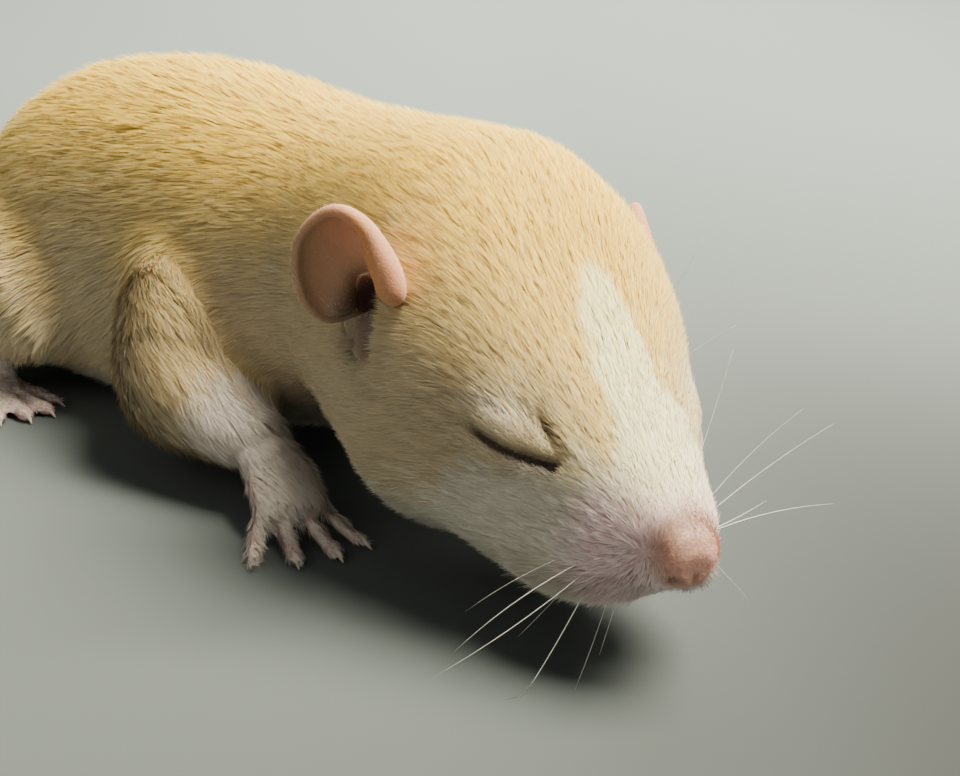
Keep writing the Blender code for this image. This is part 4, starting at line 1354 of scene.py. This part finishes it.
def ear_fuzz(ear, side, material, rng):
    """Very short fine hair over both faces of an ear, densest along its edge."""
    whole = ear.evaluated_get(bpy.context.evaluated_depsgraph_get()).to_mesh()
    places, normals = places_of(whole), normals_of(whole)
    marks = read_rows(whole.attributes["marks"].data, "color", 4)
    faces, area = triangles_of(whole, places)
    thin = (1 - marks[faces, 1].mean(1)) * (1 - 0.85 * marks[faces, 0].mean(1))
    number = area * EAR_FUZZ[3] * thin * (1 - 0.5 * marks[faces, 2].mean(1))
    face, shares = scattered(number, rng)
    roots = np.einsum("nk,nkj->nj", shares, places[faces[face]])
    normal = unit(np.einsum("nk,nkj->nj", shares, normals[faces[face]]))
    centre, sideways, tall, facing = ear_axes(side)
    off = roots - centre
    flat = np.stack([off @ sideways, off @ tall], -1)
    way = unit(0.3 * off + 2.0 * tall + 0.8 * sideways)
    count = len(roots)
    tile = np.where((normal @ facing)[:, None] > 0, (0.3, 0.5), (0.7, 0.5))
    drawn = {"places": roots, "normals": normal, "way": way, "flat": tile + flat / 30,
             "values": np.repeat([EAR_FUZZ], count, axis=0), "gold": np.full((count, 1), 0.5),
             "marks": np.repeat([(0.25, 0.45, 0.0, 0.0)], count, axis=0),
             "owner": np.full(count, list(FLESH).index("head")), "s": np.zeros((count, 1))}
    name = ear.name.replace("skin", "fuzz")
    mesh = hair_mesh(name, drawn, np.zeros((count, 3)), rng.normal(size=(count, 3)), rng)
    return finished(new_object(mesh.name, mesh), "pale_fur", material)


def add_stage():
    """A floor that curves up far behind, painted dark near the camera and pale far off as light and
    shade, one strong soft light from the upper right, and weak fill.
    """
    bm = bmesh.new()
    bmesh.ops.create_grid(bm, x_segments=2, y_segments=60, size=FLOOR_HALF)
    for vertex in bm.verts:
        past = vertex.co.y - SWEEP_START
        if past > 0:
            angle = min(past / SWEEP_RADIUS, math.pi / 2)
            straight = past - angle * SWEEP_RADIUS
            vertex.co.y = SWEEP_START + SWEEP_RADIUS * math.sin(angle)
            vertex.co.z = SWEEP_RADIUS * (1 - math.cos(angle)) + straight
    bmesh.ops.rotate(bm, matrix=Matrix.Rotation(SWEEP_TURN, 3, "Z"), verts=bm.verts)
    floor = new_object("floor", mesh_of(bm, "floor"))
    floor.data.shade_smooth()
    paint = Paint("floor", Roughness=0.9)
    # Painted shade and light on the floor: dark near the camera and in the near right corner, pale far
    # off
    far = paint.measure("DOT_PRODUCT", (0.74, 0.67, 0.0))
    right = paint.measure("DOT_PRODUCT", (0.69, -0.72, 0.0))
    share = (far - right.between(0.022, 0.060) * 0.045 + 0.108) / 0.60
    share = share.math("MAXIMUM", 0.0).math("MINIMUM", 1.6)**0.6
    corner = right.between(0.015, 0.070) * (1 - far.between(-0.05, 0.06))
    colour = paint.mix(corner * 0.72, paint.mix(share, FLOOR_SHADED_NEAR, FLOOR_LIT_FAR), FLOOR_SHADED_NEAR)
    floor.data.materials.append(paint.finish(colour))
    for name, place, size, power, colour in LIGHTS:
        light = bpy.data.lights.new(name, "AREA")
        light.energy = power
        light.size = size
        light.color = colour
        lamp = bpy.data.objects.new(name, light)
        lamp.location = place
        lamp.rotation_mode = "QUATERNION"
        lamp.rotation_quaternion = (Vector((0, 0, 0.01)) - Vector(place)).to_track_quat("-Z", "Y")
        bpy.context.scene.collection.objects.link(lamp)
    world = bpy.data.worlds.new("world")
    world.use_nodes = True
    sky = world.node_tree.nodes["Background"].inputs
    sky["Color"].default_value = SKY
    sky["Strength"].default_value = 0.14
    bpy.context.scene.world = world


def add_camera():
    data = bpy.data.cameras.new("camera")
    data.lens = CAMERA_LENS
    data.clip_start = 0.002
    data.dof.use_dof = False
    camera = bpy.data.objects.new("camera", data)
    bpy.context.scene.collection.objects.link(camera)
    place = NOSE_TIP + np.array(CAMERA_PLACE) @ HEAD_AXES
    aim = NOSE_TIP + np.array(CAMERA_AIM) @ HEAD_AXES
    look = Vector(aim - place).to_track_quat("-Z", "Y").to_matrix().to_4x4()
    roll = Matrix.Rotation(-CAMERA_ROLL, 4, "Z")
    camera.matrix_world = Matrix.Translation(Vector(place) * METRE) @ look @ roll
    bpy.context.scene.camera = camera


def main():
    ear_skin = ear_material()
    add_camera()
    add_stage()
    piece, skin = make_skin()
    finished(piece, "bare_skin", skin_material(), list(FLESH))
    tree = BVHTree.FromObject(piece, bpy.context.evaluated_depsgraph_get())
    roots = grow_coat(piece, skin)
    lean, chance = streaks(roots)
    material = coat_material()
    rng = np.random.default_rng(SEED + 3)
    for name, mask in coat_pieces(roots).items():
        some = {key: value[mask] for key, value in roots.items()}
        mesh = hair_mesh(name, some, lean[mask], chance[mask], rng)
        finished(new_object(name, mesh), "pale_fur" if name == "coat_muzzle" else "fur", material)
    for side in (-1, 1):
        ear_fuzz(make_ear(side, ear_skin), side, material, rng)
    make_claws()
    make_whiskers(tree)


main()
